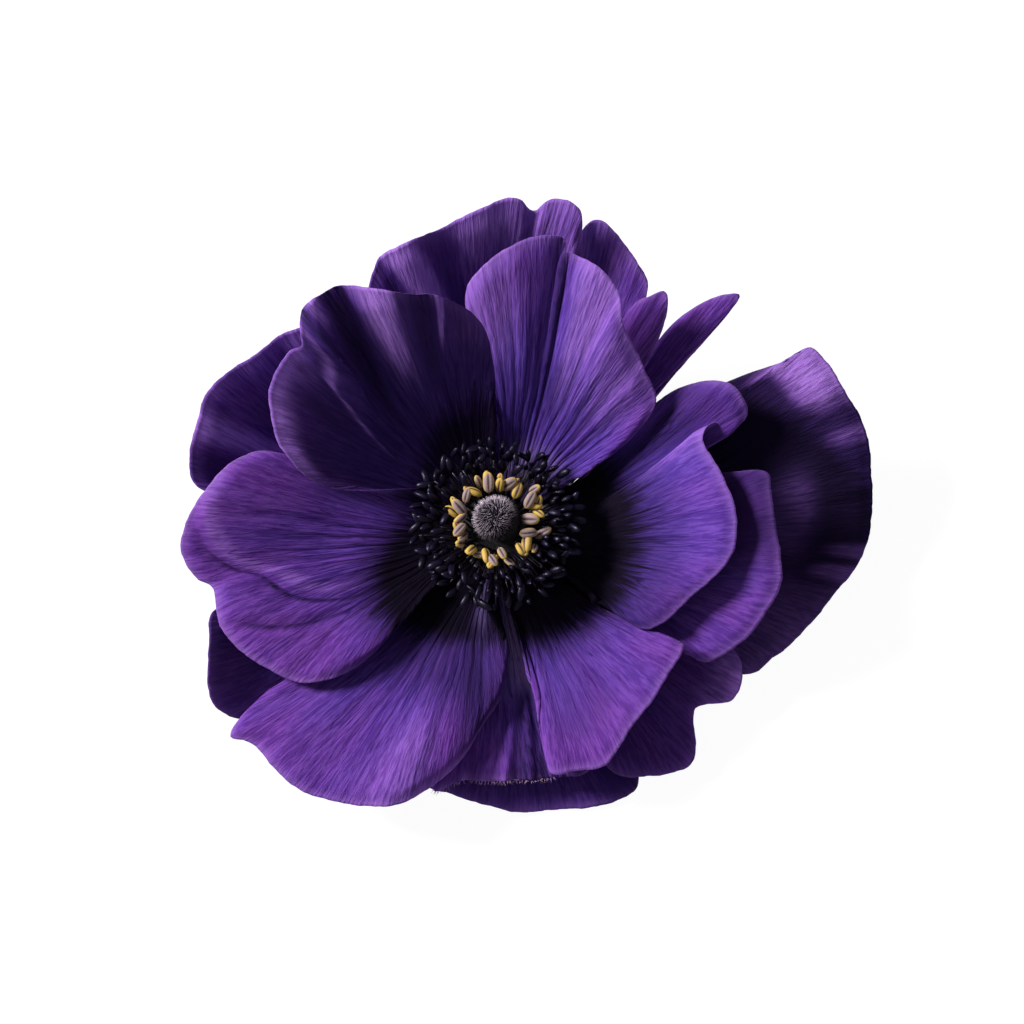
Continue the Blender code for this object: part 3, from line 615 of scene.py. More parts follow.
class Finish:
    """A material whose nodes are added and linked by short calls."""

    def __init__(self, name):
        self.material = bpy.data.materials.new(name)
        self.material.use_nodes = True
        self.tree = self.material.node_tree
        self.shader = self.tree.nodes["Principled BSDF"]

    def node(self, kind, inputs=None, **settings):
        """Adds a node. An input given another node's socket is linked, and any other value is set."""
        made = self.tree.nodes.new("ShaderNode" + kind)
        for key, value in settings.items():
            setattr(made, key, value)
        for key, value in (inputs or {}).items():
            self.feed(made.inputs[key], value)
        return made

    def feed(self, socket, value):
        if isinstance(value, bpy.types.NodeSocket):
            self.tree.links.new(value, socket)
        elif socket.type == "RGBA":
            socket.default_value = (*value, 1.0)
        else:
            socket.default_value = value

    def surface(self, **inputs):
        """Sets the shader's own sockets, named with underscores for spaces."""
        for key, value in inputs.items():
            self.feed(self.shader.inputs[key.replace("_", " ")], value)

    def math(self, operation, first, second=0.0, third=0.0, clamp=False):
        inputs = {0: first, 1: second, 2: third}
        return self.node("Math", inputs, operation=operation, use_clamp=clamp).outputs[0]

    def times(self, first, second, clamp=False):
        return self.math("MULTIPLY", first, second, clamp=clamp)

    def between(self, value, low, high, to_low=0.0, to_high=1.0):
        """value taken from the range low..high to to_low..to_high, with an S-curve between them."""
        inputs = {"Value": value, "From Min": low, "From Max": high, "To Min": to_low, "To Max": to_high}
        return self.node("MapRange", inputs, interpolation_type="SMOOTHSTEP").outputs["Result"]

    def mix(self, share, first, second):
        """Two colours mixed by share, each a socket or three numbers."""
        made = self.node("Mix", {"Factor": share}, data_type="RGBA")
        self.feed(made.inputs[6], first)
        self.feed(made.inputs[7], second)
        return made.outputs[2]

    def attribute(self, name):
        return self.node("Attribute", attribute_name=name).outputs["Fac"]

    def place(self, name, across, along):
        """The named UV map, stretched by these two factors, with a third number left at 0."""
        uv = self.node("UVMap", uv_map=name).outputs["UV"]
        return self.node("Mapping", {"Vector": uv, "Scale": (across, along, 1.0)}).outputs["Vector"]

    def noise(self, vector, scale=1.0, detail=2.0, roughness=0.5, dimensions="2D"):
        inputs = {"Vector": vector, "Scale": scale, "Detail": detail, "Roughness": roughness}
        return self.node("TexNoise", inputs, noise_dimensions=dimensions).outputs["Fac"]

    def grain(self, scale, detail=2.0):
        """Noise through the object's own space, of that many cells a metre."""
        coords = self.node("TexCoord").outputs["Object"]
        return self.noise(coords, scale=scale, detail=detail, dimensions="3D")

    def lines(self, noise, width):
        """1 along the lines where the noise has its middle value, down to 0 at that distance."""
        away = self.math("ABSOLUTE", self.math("SUBTRACT", noise, 0.5))
        return self.between(away, 0.004, width, 1.0, 0.0)

    def bump(self, height, distance, strength):
        inputs = {"Height": height, "Distance": distance, "Strength": strength}
        return self.node("Bump", inputs).outputs["Normal"]


def petal_finish(name, colours):
    """Velvety petal: blue violet that turns red violet towards the rim, fine streaks and crepe along
    the ribs, dark veins that fan out and branch, painted highlight and painted shade in bands along the
    folds, a painted sheen on the rim, painted light in a pale patch near some roots, painted shade in
    deep violet over parts in shadow, a near-black stain whose edge feathers out along the veins, and a
    greyer back."""
    finish = Finish(name)
    crepe = finish.noise(finish.place("petal", 2.3, 0.42), detail=2.0, roughness=0.6)
    streak = finish.noise(finish.place("petal", 1.1, 0.09), detail=3.0, roughness=0.6)
    broad = finish.noise(finish.place("petal", 0.13, 0.06), detail=2.0)
    vein = finish.lines(finish.noise(finish.place("petal", 0.62, 0.05), detail=1.0, roughness=0.4), 0.03)
    branch = finish.lines(finish.noise(finish.place("petal", 1.2, 0.16), detail=1.0), 0.04)
    reach = finish.attribute("reach")
    branch = finish.times(branch, finish.between(reach, 0.9, 0.4, 0.0, 0.6))
    veins = finish.math("MAXIMUM", vein, branch)
    shown = finish.times(veins, finish.between(reach, 0.45, 0.98, 0.7, 0.2))

    fibre = finish.math("MULTIPLY_ADD", crepe, 0.5, finish.times(streak, 0.5))
    light = finish.between(fibre, 0.39, 0.61)
    bluish = finish.mix(light, colours.violet_deep, colours.violet)
    reddish = finish.mix(light, colours.purple_deep, colours.purple)
    patchy = finish.math("MULTIPLY_ADD", broad, 1.2, -0.6)
    ground = finish.mix(finish.math("ADD", finish.attribute("red"), patchy, clamp=True), bluish, reddish)
    # Painted sheen: the rim paler, where it turns towards the light.
    rim_sheen = finish.mix(finish.times(finish.attribute("rim"), 0.4), ground, colours.rim)
    # Painted light: a pale pool of light near some petals' roots.
    painted_glow = finish.times(finish.attribute("painted_glow"), finish.between(streak, 0.25, 0.7, 0.5, 1.0))
    with_painted_glow = finish.mix(painted_glow, rim_sheen, colours.painted_glow)
    # Painted light and shade: bands along the folds, mixed towards the crest colour where lit and towards
    # the deep violet where in shadow.
    painted_light_and_shade = finish.attribute("painted_light_and_shade")
    uneven = finish.between(fibre, 0.36, 0.64, 0.55, 1.25)
    with_painted_highlight = finish.mix(finish.times(painted_light_and_shade, uneven, clamp=True), with_painted_glow, colours.crest)
    painted_band_shade = finish.times(finish.times(painted_light_and_shade, -1.0), uneven, clamp=True)
    with_painted_band_shade = finish.mix(painted_band_shade, with_painted_highlight, colours.dusk_and_painted_shade)
    veined = finish.mix(shown, with_painted_band_shade, colours.vein)
    edge = finish.math("ADD", finish.attribute("stain"), finish.math("SUBTRACT", streak, 0.5))
    edge = finish.math("MULTIPLY_ADD", veins, 0.22, edge)
    near_dusk = finish.times(finish.between(edge, -0.25, 0.75), finish.attribute("stain_depth"))
    # Painted shade: deep violet laid over the parts of a petal that lie in shadow, less where a painted
    # band is lit.
    far_painted_shade = finish.math("MULTIPLY_ADD", streak, 0.5, finish.attribute("dusk_and_painted_shade"))
    far_painted_shade = finish.times(finish.between(far_painted_shade, 0.25, 1.25), finish.attribute("painted_shade_depth"))
    kept = finish.between(painted_light_and_shade, 0.1, 0.8, 1.0, 0.15)
    clear = finish.math("SUBTRACT", 1.0, painted_glow)
    dusk_and_painted_shade = finish.math("MAXIMUM", finish.times(near_dusk, 0.8), finish.times(far_painted_shade, kept))
    with_dusk_and_shade = finish.mix(finish.times(dusk_and_painted_shade, clear), veined, colours.dusk_and_painted_shade)
    dark = finish.times(finish.between(edge, 0.4, 1.0), finish.attribute("stain_depth"))
    dark = finish.times(dark, finish.times(clear, kept))
    front = finish.mix(dark, with_dusk_and_shade, colours.stain)
    back_ground = finish.mix(light, colours.back_deep, colours.back)
    back = finish.mix(finish.times(veins, 0.5), back_ground, colours.back_vein)
    back = finish.mix(near_dusk, back, colours.stain)
    colour = finish.mix(finish.attribute("back"), front, back)

    grain = finish.grain(5200.0)
    relief = finish.math("MULTIPLY_ADD", shown, -0.5, finish.times(streak, 0.5))
    relief = finish.math("MULTIPLY_ADD", crepe, finish.between(reach, 0.3, 1.0, 0.5, 1.6), relief)
    relief = finish.math("MULTIPLY_ADD", grain, 0.22, relief)
    finish.surface(
        Base_Color=colour,
        Roughness=finish.between(crepe, 0.2, 0.8, 0.52, 0.68),
        Specular_IOR_Level=0.03,
        Specular_Tint=(0.5, 0.32, 1.0),
        Sheen_Weight=0.01,
        Sheen_Roughness=0.35,
        Sheen_Tint=(0.62, 0.42, 1.0),
        Subsurface_Weight=0.15,
        Subsurface_Radius=(0.7, 0.25, 1.0),
        Subsurface_Scale=0.0005,
        Normal=finish.bump(relief, 0.00011, 0.9),
    )
    return finish.material


def filament_finish(colours):
    """Blackish violet, a little glossy, with a faint grain."""
    finish = Finish("filament")
    grain = finish.grain(2500.0)
    finish.surface(
        Base_Color=finish.mix(grain, colours.filament, colours.stain),
        Roughness=finish.between(grain, 0.2, 0.8, 0.35, 0.55),
    )
    return finish.material


def anther_finish(name, side, crest, groove, roughness, gloss):
    """Two lobes: the sides in one colour, the crests in another, a darker groove, and pollen grains."""
    finish = Finish(name)
    pollen = finish.grain(9000.0)
    patches = finish.grain(1300.0)
    top = finish.math("ADD", finish.attribute("crest"), finish.math("MULTIPLY_ADD", patches, 0.7, -0.35))
    top = finish.math("ADD", top, finish.between(finish.attribute("shade"), 0.5, 0.85, 0.15, -0.9))
    tinted = finish.mix(finish.between(top, 0.3, 0.8), side, crest)
    dark = finish.between(finish.attribute("groove"), 0.2, 0.9)
    grooved = finish.mix(dark, tinted, groove)
    finish.surface(
        Base_Color=finish.mix(finish.between(pollen, 0.45, 0.75, 0.0, 0.35), grooved, side),
        Roughness=finish.between(pollen, 0.3, 0.7, roughness, roughness + 0.2),
        Specular_IOR_Level=gloss,
        Specular_Tint=(0.8, 0.7, 1.0),
        Normal=finish.bump(pollen, 0.00004, 0.6),
    )
    return finish.material


def down_finish(name, root, tip):
    """Fine hairs, darker at the root than at the tip, each a little different. On the pistil the shade also
    holds painted light: paler towards the lamp.
    """
    finish = Finish(name)
    share = finish.between(finish.attribute("along"), 0.0, 0.8)
    lit = finish.times(share, finish.between(finish.attribute("shade"), 0.0, 1.0, 0.06, 1.0))
    finish.surface(Base_Color=finish.mix(lit, root, tip), Roughness=0.6, Specular_IOR_Level=0.05)
    return finish.material


def pistil_finish(colours):
    """The carpels' dark skin under the hairs."""
    finish = Finish("carpel_skin")
    grain = finish.grain(2600.0, detail=3.0)
    finish.surface(
        Base_Color=finish.mix(finish.between(grain, 0.35, 0.7), colours.stain, colours.carpel),
        Roughness=0.7,
        Specular_IOR_Level=0.05,
        Normal=finish.bump(grain, 0.0001, 0.8),
    )
    return finish.material


def stalk_finish(colours):
    """Green with fine lengthwise streaks, flushed purple under the petals, black at the stamens' feet."""
    finish = Finish("stalk_skin")
    streaks = finish.noise(finish.place("stalk", 30.0, 0.25), detail=3.0, roughness=0.6)
    green = finish.mix(finish.between(streaks, 0.35, 0.7), colours.stalk_dark, colours.stalk)
    height = finish.attribute("height")
    flushed = finish.mix(finish.between(height, 1.5, 6.0), green, colours.flush)
    topped = finish.mix(finish.between(height, 7.5, 10.5), flushed, colours.stain)
    cut = finish.mix(finish.attribute("cut"), topped, colours.pith)
    finish.surface(
        Base_Color=cut,
        Roughness=0.6,
        Sheen_Weight=0.2,
        Subsurface_Weight=0.1,
        Subsurface_Scale=0.001,
        Normal=finish.bump(streaks, 0.00012, 0.8),
    )
    return finish.material


# ---------------------------------------------------------------------------------------------------
# Petals
# ---------------------------------------------------------------------------------------------------


def petal_middle(petal, cell, draw):
    """The petal's middle surface as ribs that fan out from its root to its margin, in millimetres.

    A rib leaves the root along the petal, bends towards its own place on the margin, and climbs as a
    power of its length, less the sag and with the crown.  Folds run along the ribs and grow towards the
    margin, pleats are strongest near the root, and the rim waves and turns down in its last part. All
    of these move the margin towards the viewer or away, so that its outline stays the table's own.
    Returns the points and, for each, how far it is across (0 to 1) and along its rib (0 to 1), its
    rib's length and the margin's length.
    """
    stations = np.array(petal["margin"], float)
    outline = np.column_stack([polar(stations[:, 0], stations[:, 1]), stations[:, 2]])
    width = smooth_curve(outline, 60)[1]
    columns = int(width / cell)
    margin = smooth_curve(outline, columns)[0]
    side = np.sign(stations[-1, 0] - stations[0, 0])
    u = np.linspace(0, 1, columns)[:, None]
    root_azimuth = petal["points"] + side * petal["root"] * (2 * u[:, 0] - 1)
    root = polar(root_azimuth, PETAL_ROOT_RADIUS)
    root_height = LOWEST_LEVEL_HEIGHT + LEVEL_PITCH * (petal["level"] - 1)
    chord = margin[:, :2] - root
    nick = 0.10 * wander(u * width, 11.0, draw) + 0.035 * wander(u * width, 1.9, draw)
    for place, half_width, size in petal.get("notches", ()):
        nick = nick - size * np.exp(-(((u - place) / half_width) ** 2))
    margin[:, :2] += nick * unit(chord)
    chord = margin[:, :2] - root
    run = np.linalg.norm(chord, axis=1, keepdims=True)
    bend = root + 0.5 * run * unit(0.5 * unit(chord) + 0.5 * unit(root))
    rows = int(run.max() / cell)
    v = np.linspace(0, 1, rows)[None, :]
    far = v[..., None]
    plan = (1 - far) ** 2 * root[:, None] + 2 * far * (1 - far) * bend[:, None]
    plan = plan + far**2 * margin[:, None, :2]
    reach = np.minimum(1, run / FULL_REACH)
    height = root_height + (margin[:, None, 2] - root_height) * v ** petal["bowl"]
    height = height - petal.get("sag", 0.0) * 4 * v * (1 - v) * reach
    height = height + petal["crown"] * CROWN_SHAPE * v**3 * (1 - v) * reach
    surface = np.dstack([plan, height])

    push = np.zeros((columns, rows))
    for place, before, after, size, foot, bow, start in petal["folds"]:
        centre = foot + (place - foot) * v + bow * 4 * v * (1 - v)
        half_width = np.where(u < centre, before, after)
        rise = np.clip((v - start) / (1 - start), 0, 1) ** 1.2
        push += size * np.exp(-(((u - centre) / half_width) ** 2)) * rise
    across = u * width + 0.5 * wander(v * run.max(), 21.0, draw)
    growth = smoothstep(0.02, 0.28, v) * (1 - 0.75 * smoothstep(0.35, 0.95, v))
    push += petal["pleat"] * growth * wander(across, 3.6, draw, 4)
    push += 0.9 * petal["pleat"] * smoothstep(0.3, 0.8, v) * wander(across, 9.0, draw, 2)
    push += 0.02 * smoothstep(0.2, 0.9, v) * wander(across, 1.4, draw, 2)
    swing = wander(u * width, 13.0, draw, 2) + 0.35 * wander(u * width, 4.5, draw, 2)
    push += petal["ruffle"] * smoothstep(0.62, 1.0, v) ** 1.5 * swing
    to_rim = (1 - v) * run
    push -= petal["roll"] * smoothstep(ROLLED_RIM_WIDTH, 0.0, to_rim) ** 1.5
    offset = push[..., None] * normals_of(surface)
    stray = offset[:, -1:] - (offset[:, -1:] @ FACING)[..., None] * FACING
    offset = offset - stray * smoothstep(0.35, 1.0, v)[..., None]
    return surface + offset, u + 0 * v, v + 0 * u, run, width


NO_TUFTS = (np.zeros((0, 3)), [], np.zeros(0), np.zeros(0))


def rim_hairs(middle, first, last, radius, draw):
    """Short hairs that stand out from the rim between two places along it."""
    column = (draw.uniform(first, last, RIM_HAIRS) * (len(middle) - 1)).astype(int)
    root = middle[column, -1]
    outward = unit(root - middle[column, -4]) + [0.0, 0.0, 0.7]
    direction = unit(outward + 0.5 * draw.normal(0, 1, root.shape))
    return hairs(root, direction, draw.uniform(0.3, 0.75, RIM_HAIRS), radius, 0, draw)


def petal_marks(petal, middle, u, v, run, width):
    """What the petal's finish reads at every point of its middle surface, by name."""
    distance = np.hypot(middle[..., 0], middle[..., 1])
    first, last, stain_depth = petal.get("stain", USUAL_STAIN)
    across = smoothstep(0.15, 0.85, u)
    stain = 0.7 + (first + (last - first) * across - distance) / STAIN_FEATHER
    # Painted shade in deep violet, over the parts that lie in shadow.
    first, last, painted_shade_depth = petal.get("dusk_and_painted_shade", (0.0, 0.0, 0.0))
    dusk_and_painted_shade = 0.5 + (first + (last - first) * across - distance) / PAINTED_SHADE_FEATHER
    # A pool of painted light near the root.
    place, half_width, painted_glow_reach, strength = petal.get("painted_glow", (0.5, 1.0, 0.0, 0.0))
    painted_glow = strength * np.exp(-(((u - place) / half_width) ** 2))
    painted_glow = painted_glow * smoothstep(painted_glow_reach, 0.6 * painted_glow_reach, distance)
    # Painted highlight (above 0) and painted shade (below 0) in bands along the folds.
    painted_light_and_shade = np.zeros(v.shape)
    for strength, place, before, after, foot, bow, start, stop in petal.get("painted_bands", ()):
        centre = foot + (place - foot) * v + bow * 4 * v * (1 - v)
        half_width = np.where(u < centre, before, after) * (0.35 + 0.65 * v)
        lengthwise = smoothstep(start, start + 0.6 * (1 - start), v) * smoothstep(stop, stop - 0.15, v)
        painted_light_and_shade += strength * np.exp(-(np.abs((u - centre) / half_width) ** 3)) * lengthwise
    # Where the painted sheen lies along the rim.
    to_side = np.minimum(u, 1 - u)
    rim = smoothstep(RIM_SHEEN_WIDTH, 0.0, np.minimum((1 - v) * run, to_side * width * v * 0.7))
    rim = rim * smoothstep(0.45, 0.9, v) * smoothstep(0.0, 0.22, to_side)
    return dict(
        reach=v, stain=stain, dusk_and_painted_shade=dusk_and_painted_shade, rim=rim, painted_glow=painted_glow, painted_light_and_shade=painted_light_and_shade,
        red=petal["red"] + 0.55 * smoothstep(0.4, 1.0, v) - 0.25,
        stain_depth=np.full(v.shape, stain_depth), painted_shade_depth=np.full(v.shape, painted_shade_depth),
    )


def add_petal(name, petal, finishes, sizes, seed):
    """A closed skin round the middle surface, thinner towards the rim, with what its finish reads, and
    with hairs on its rim if it has a fringe."""
    draw = np.random.default_rng(seed)
    middle, u, v, run, width = petal_middle(petal, sizes.petal_cell / MM, draw)
    full = sizes.petal_thickness / MM
    thickness = RIM_THICKNESS + (full - RIM_THICKNESS) * smoothstep(0.0, THIN_RIM_WIDTH, (1 - v) * run)
    half = 0.5 * thickness[..., None] * normals_of(middle)
    points, quads = closed_sheet(middle + half, middle - half)
    tufts = NO_TUFTS
    if "fringe" in petal:
        tufts = rim_hairs(middle, *petal["fringe"], sizes.hair_radius / MM, draw)
    mesh = downy_mesh(name, points, [quads], tufts)
    blank = np.zeros(len(tufts[0]))

    def both_sides(values):
        return np.concatenate([np.tile(values.ravel(), 2), blank])

    give_uv(mesh, "petal", both_sides(u * width), both_sides(v * run.max()))
    for key, values in petal_marks(petal, middle, u, v, run, width).items():
        give_attribute(mesh, key, both_sides(values))
    give_attribute(mesh, "back", np.concatenate([np.repeat([0.0, 1.0], v.size), blank]))
    return add_piece(name.replace("_petal_", "_petal_skin_"), mesh, finishes, name)


# ---------------------------------------------------------------------------------------------------
# Stamens, pistil and stalk
# ---------------------------------------------------------------------------------------------------


def anther_rings(direction, lift, size, stations, sides):
    """Two-lobed anthers about their own middles as rings (items, stations, sides, 3). The half width
    follows an ellipse's outline with blunt ends, and a groove runs along the upper and the lower side.

    Returns the rings, how much each point faces up, and how deep in the groove it lies."""
    length, half_width, half_depth = size
    s = np.linspace(-0.985, 0.985, stations)[None, :, None]
    outline = (1 - np.abs(s) ** 2.6) ** 0.5
    angle = (2 * np.pi * np.arange(sides) / sides)[None, None, :]
    groove = np.exp(-((np.cos(angle) / 0.30) ** 2))
    across = half_width * outline * np.cos(angle) * (1 + 0.05 * np.sin(angle) ** 2)
    depth = half_depth * outline * np.sin(angle) * (1 - 0.30 * groove)
    side = unit(np.cross(lift, direction))
    upward = np.cross(direction, side)
    bend = 0.12 * length * (1 - s**2)
    rings = direction[:, None, None] * (s * length)[..., None] + side[:, None, None] * across[..., None]
    rings = rings + upward[:, None, None] * (depth + bend)[..., None]
    crest = np.broadcast_to(np.sin(angle) * outline, rings.shape[:3])
    return rings, crest, np.broadcast_to(groove * outline, rings.shape[:3])


def stamen_parts(ring, sizes, draw):
    """One ring of stamens: curved filaments from the receptacle, each with an anther on its end."""
    count = ring["count"]
    azimuth = 360 * (np.arange(count) + draw.uniform(-0.34, 0.34, count)) / count + draw.uniform(0, 360)
    reach = ring["middle"][0] + draw.normal(0, STAMEN_STRAY["reach"], count)
    height = ring["middle"][1] + draw.normal(0, STAMEN_STRAY["height"], count)
    tilt = np.radians(ring["tilt"] + draw.normal(0, STAMEN_STRAY["tilt"], count))
    facing = azimuth + draw.normal(0, STAMEN_STRAY["facing"], count)
    outward = np.column_stack([polar(facing, 1.0), np.zeros(count)])
    up = np.array([0.0, 0.0, 1.0])
    direction = np.cos(tilt)[:, None] * outward + np.sin(tilt)[:, None] * up
    lift = np.cos(tilt)[:, None] * up - np.sin(tilt)[:, None] * outward
    lift = unit(lift + 0.35 * draw.normal(0, 1, (count, 3)))
    centre = np.column_stack([polar(azimuth, reach), height])
    pale = ring["pale"] > 0.5
    stations, sides = (11, 16) if pale else (7, 8)
    grown = draw.uniform(0.78, 1.18, count)[:, None, None]
    rings, crest, groove = anther_rings(direction, lift, ring["anther"], stations, sides)
    rings = rings * grown[..., None] + centre[:, None, None]

    neck = centre - direction * ring["anther"][0] * 0.9
    foot_reach = np.clip(0.42 * reach + 0.6, 2.9, RECEPTACLE_RADIUS - 0.3)
    foot = np.column_stack([polar(azimuth, foot_reach), np.full(count, RECEPTACLE_TOP - 0.3)])
    share = np.array([0.3, 0.3, 0.65])
    bend = foot * (1 - share) + neck * share
    path = bezier(foot, bend, neck, 5)
    radius = sizes.filament_radius / MM * np.linspace(1.15, 0.85, 5)[None, :] * np.ones((count, 1))
    return dict(
        anthers=rings, crest=crest, groove=groove, filaments=tubes(path, radius, 5),
        shade=draw.uniform(0, 1, count), pale=pale,
    )


def add_stamens(node, finishes, sizes, seed):
    """All rings that stand for one whorl of the frame, as one piece of filaments and anthers."""
    draw = np.random.default_rng(seed)
    points, faces, kinds = [], [], []
    marks = dict(crest=[], groove=[], shade=[])
    start = 0
    for ring in (ring for ring in STAMEN_RINGS if ring["node"] == node):
        parts = stamen_parts(ring, sizes, draw)
        for rings, kind in ((parts["filaments"], 0), (parts["anthers"], 1 if parts["pale"] else 2)):
            body, pieces = lofts(rings)
            points.append(body)
            faces += [part + start for part in pieces]
            kinds += [np.full(len(part), kind) for part in pieces]
            start += len(body)
            for key in ("crest", "groove"):
                field = parts[key] if kind else np.zeros(rings.shape[:3])
                marks[key].append(np.concatenate([field.ravel(), np.zeros(2 * len(rings))]))
            marks["shade"].append(spread(parts["shade"], *rings.shape[1:3]))
    name, slot = STAMEN_OBJECTS[node]
    mesh = make_mesh(name, np.concatenate(points), faces)
    mesh.polygons.foreach_set("material_index", np.concatenate(kinds).astype(np.int32))
    for key, values in marks.items():
        give_attribute(mesh, key, np.concatenate(values))
    return add_piece(name, mesh, finishes, node)


def golden_spiral(count):
    """Evenly scattered places on a disc: azimuth in degrees and share of the area inside."""
    k = np.arange(count)
    return k * 137.50776, (k + 0.5) / count


def hairs(root, direction, length, radius, droop, draw):
    """Thin curved cones of three sides from their roots. Returns points, faces, and for each point how
    far along its hair it is and its hair's own shade."""
    count = len(root)
    end = root + direction * length[:, None] + droop
    bend = root + direction * length[:, None] * 0.55
    path = bezier(root, bend, end, 4)
    thin = radius * np.array([1.0, 0.8, 0.5, 0.12])[None, :] * draw.uniform(0.75, 1.2, (count, 1))
    rings = tubes(path, thin, 3)
    points, faces = lofts(rings)
    along = np.broadcast_to(np.linspace(0, 1, 4)[None, :, None], rings.shape[:3])
    ends = np.tile([0.0, 1.0], count)
    shade = spread(draw.uniform(0, 1, count), 4, 3)
    return points, faces, np.concatenate([along.ravel(), ends]), shade


def turned(profile, segments):
    """Rings of a turned body, from its lowest (radius, height) up, as the one item of a loft."""
    angle = 2 * np.pi * np.arange(segments) / segments
    circle = np.stack([np.cos(angle), np.sin(angle)], axis=-1)
    height = np.broadcast_to(profile[:, None, 1:], (len(profile), segments, 1))
    return np.concatenate([profile[:, :1, None] * circle[None], height], axis=-1)[None]


def swell(rings, height):
    """The rings of a turned body, moved out from its axis by height (items, stations, sides)."""
    return rings + height[..., None] * unit(rings * [1, 1, 0] + [1e-6, 0, 0])


def add_pistil(sizes, colours):
    """A dome of carpels on a neck, its skin uneven, with a coat of pale hairs, painted paler on the side
    towards the lamp and darker away from it.
    """
    draw = np.random.default_rng(41)
    radius = PISTIL_RADIUS - HAIR_COAT
    top = PISTIL_TOP - HAIR_COAT
    waist = top - DOME_HEIGHT
    angle = np.linspace(0, 0.5 * np.pi, 26)
    dome = np.column_stack([radius * np.cos(angle), waist + (top - waist) * np.sin(angle)])[:-1]
    neck = np.array([
        (1.5, RECEPTACLE_TOP - 0.2), (1.7, 12.6), (radius - 0.45, 14.2), (radius - 0.1, waist - 0.7),
    ])
    rings = turned(np.vstack([neck, dome]), 72)
    azimuth = np.arctan2(rings[..., 1], rings[..., 0])
    bumps = 0.05 * np.sin(13 * azimuth + 9 * rings[..., 2]) * np.sin(11 * azimuth - 8 * rings[..., 2])
    skin_points, skin_faces = lofts(swell(rings, bumps))

    turn, share = golden_spiral(sizes.pistil_hairs)
    rise = np.arccos(np.clip(1 - 1.12 * share, -1, 1))
    root = np.column_stack([polar(turn, radius * np.sin(rise)), waist + (top - waist) * np.cos(rise)])
    normal = unit(np.column_stack([polar(turn, np.sin(rise) / radius), np.cos(rise) / (top - waist)]))
    sideways = np.column_stack([polar(turn + 90, 1.0), np.zeros(len(turn))])
    direction = unit(normal + 0.30 * draw.normal(0, 1, normal.shape) + 0.2 * sideways)
    length = draw.uniform(0.45, 0.85, len(turn))
    droop = np.column_stack([polar(turn, 0.10), np.full(len(turn), -0.06)])
    points, faces, along, shade = hairs(root, direction, length, sizes.hair_radius / MM, droop, draw)
    # Painted light and shade: hairs paler on the side towards the key lamp and darker away from it.
    pale = unit(points - [0, 0, waist]) @ unit(np.array([-0.55, 0.45, 0.7]))
    shade = (0.35 + 0.65 * shade) * smoothstep(-0.5, 0.7, pale)
    mesh = downy_mesh("downy_pistil", skin_points, skin_faces, (points, faces, along, shade))
    finishes = [pistil_finish(colours), down_finish("pistil_down", colours.stain, colours.down)]
    return add_piece("downy_pistil", mesh, finishes, "pistil")


def add_stalk(sizes, colours):
    """The receptacle and the stub of stalk: a turned body with ribs, a cut foot and short down."""
    draw = np.random.default_rng(43)
    profile = np.array([
        (0.3, 0.02), (1.4, 0.0), (2.1, 0.0), (STALK_RADIUS, 0.18), (STALK_RADIUS, 0.9), (2.55, 1.4),
        (3.4, 1.9), (4.5, 2.3), (4.95, 2.9), (RECEPTACLE_RADIUS, 4.0), (RECEPTACLE_RADIUS, 7.0),
        (RECEPTACLE_RADIUS, 10.4), (5.0, 11.0), (4.5, RECEPTACLE_TOP - 0.12), (3.0, RECEPTACLE_TOP),
        (0.6, RECEPTACLE_TOP),
    ])
    along = np.arange(len(profile))
    fine = np.linspace(0, len(profile) - 1, 90)
    profile = np.column_stack([np.interp(fine, along, profile[:, k]) for k in range(2)])
    rings = turned(profile, 96)
    azimuth = np.arctan2(rings[..., 1], rings[..., 0])
    ribs = 0.09 * np.sin(14 * azimuth) + 0.04 * np.sin(37 * azimuth + 1.3)
    ribs = ribs * smoothstep(1.2, 2.2, profile[:, 0])[None, :, None] - 0.1
    skin_points, skin_faces = lofts(swell(rings, ribs))

    count = sizes.stalk_hairs
    turn, share = golden_spiral(count)
    height = 0.35 + 7.0 * share**1.4
    reach = np.interp(height, profile[:, 1][:70], profile[:, 0][:70]) - 0.1
    root = np.column_stack([polar(turn, reach), height])
    outward = np.column_stack([polar(turn, 1.0), np.full(count, 0.1)])
    direction = unit(outward + 0.4 * draw.normal(0, 1, (count, 3)))
    length = draw.uniform(0.3, 0.6, count)
    tufts = hairs(root, direction, length, sizes.hair_radius / MM, 0, draw)
    points = np.concatenate([skin_points, tufts[0]])
    mesh = downy_mesh("downy_stalk", skin_points, skin_faces, tufts)
    give_attribute(mesh, "height", points[:, 2])
    cut = smoothstep(0.12, 0.0, points[:, 2]) * smoothstep(2.2, 1.7, np.hypot(points[:, 0], points[:, 1]))
    give_attribute(mesh, "cut", cut)
    turn_share = np.arctan2(points[:, 1], points[:, 0]) / (2 * np.pi) + 0.5
    give_uv(mesh, "stalk", turn_share, points[:, 2])
    finishes = [stalk_finish(colours), down_finish("stalk_down", colours.stalk_dark, colours.down)]
    return add_piece("downy_stalk", mesh, finishes, "stalk_and_receptacle")


# ---------------------------------------------------------------------------------------------------
# Stage
# ---------------------------------------------------------------------------------------------------

CAMERA_ELEVATION = 75.0
CAMERA_DISTANCE = 0.55
VIEW_WIDTH = 0.13312
VIEW_CENTRE = (2.07, 2.01, 12.0)
KEY_LAMP = dict(azimuth=159.0, elevation=35.0, energy=6.0, angle=17.0, color=(1.0, 0.98, 0.96))
WORLD_COLOUR = (0.92, 0.93, 1.0, 1.0)
WORLD_STRENGTH = 0.24
FLOOR_HALF = 3.0


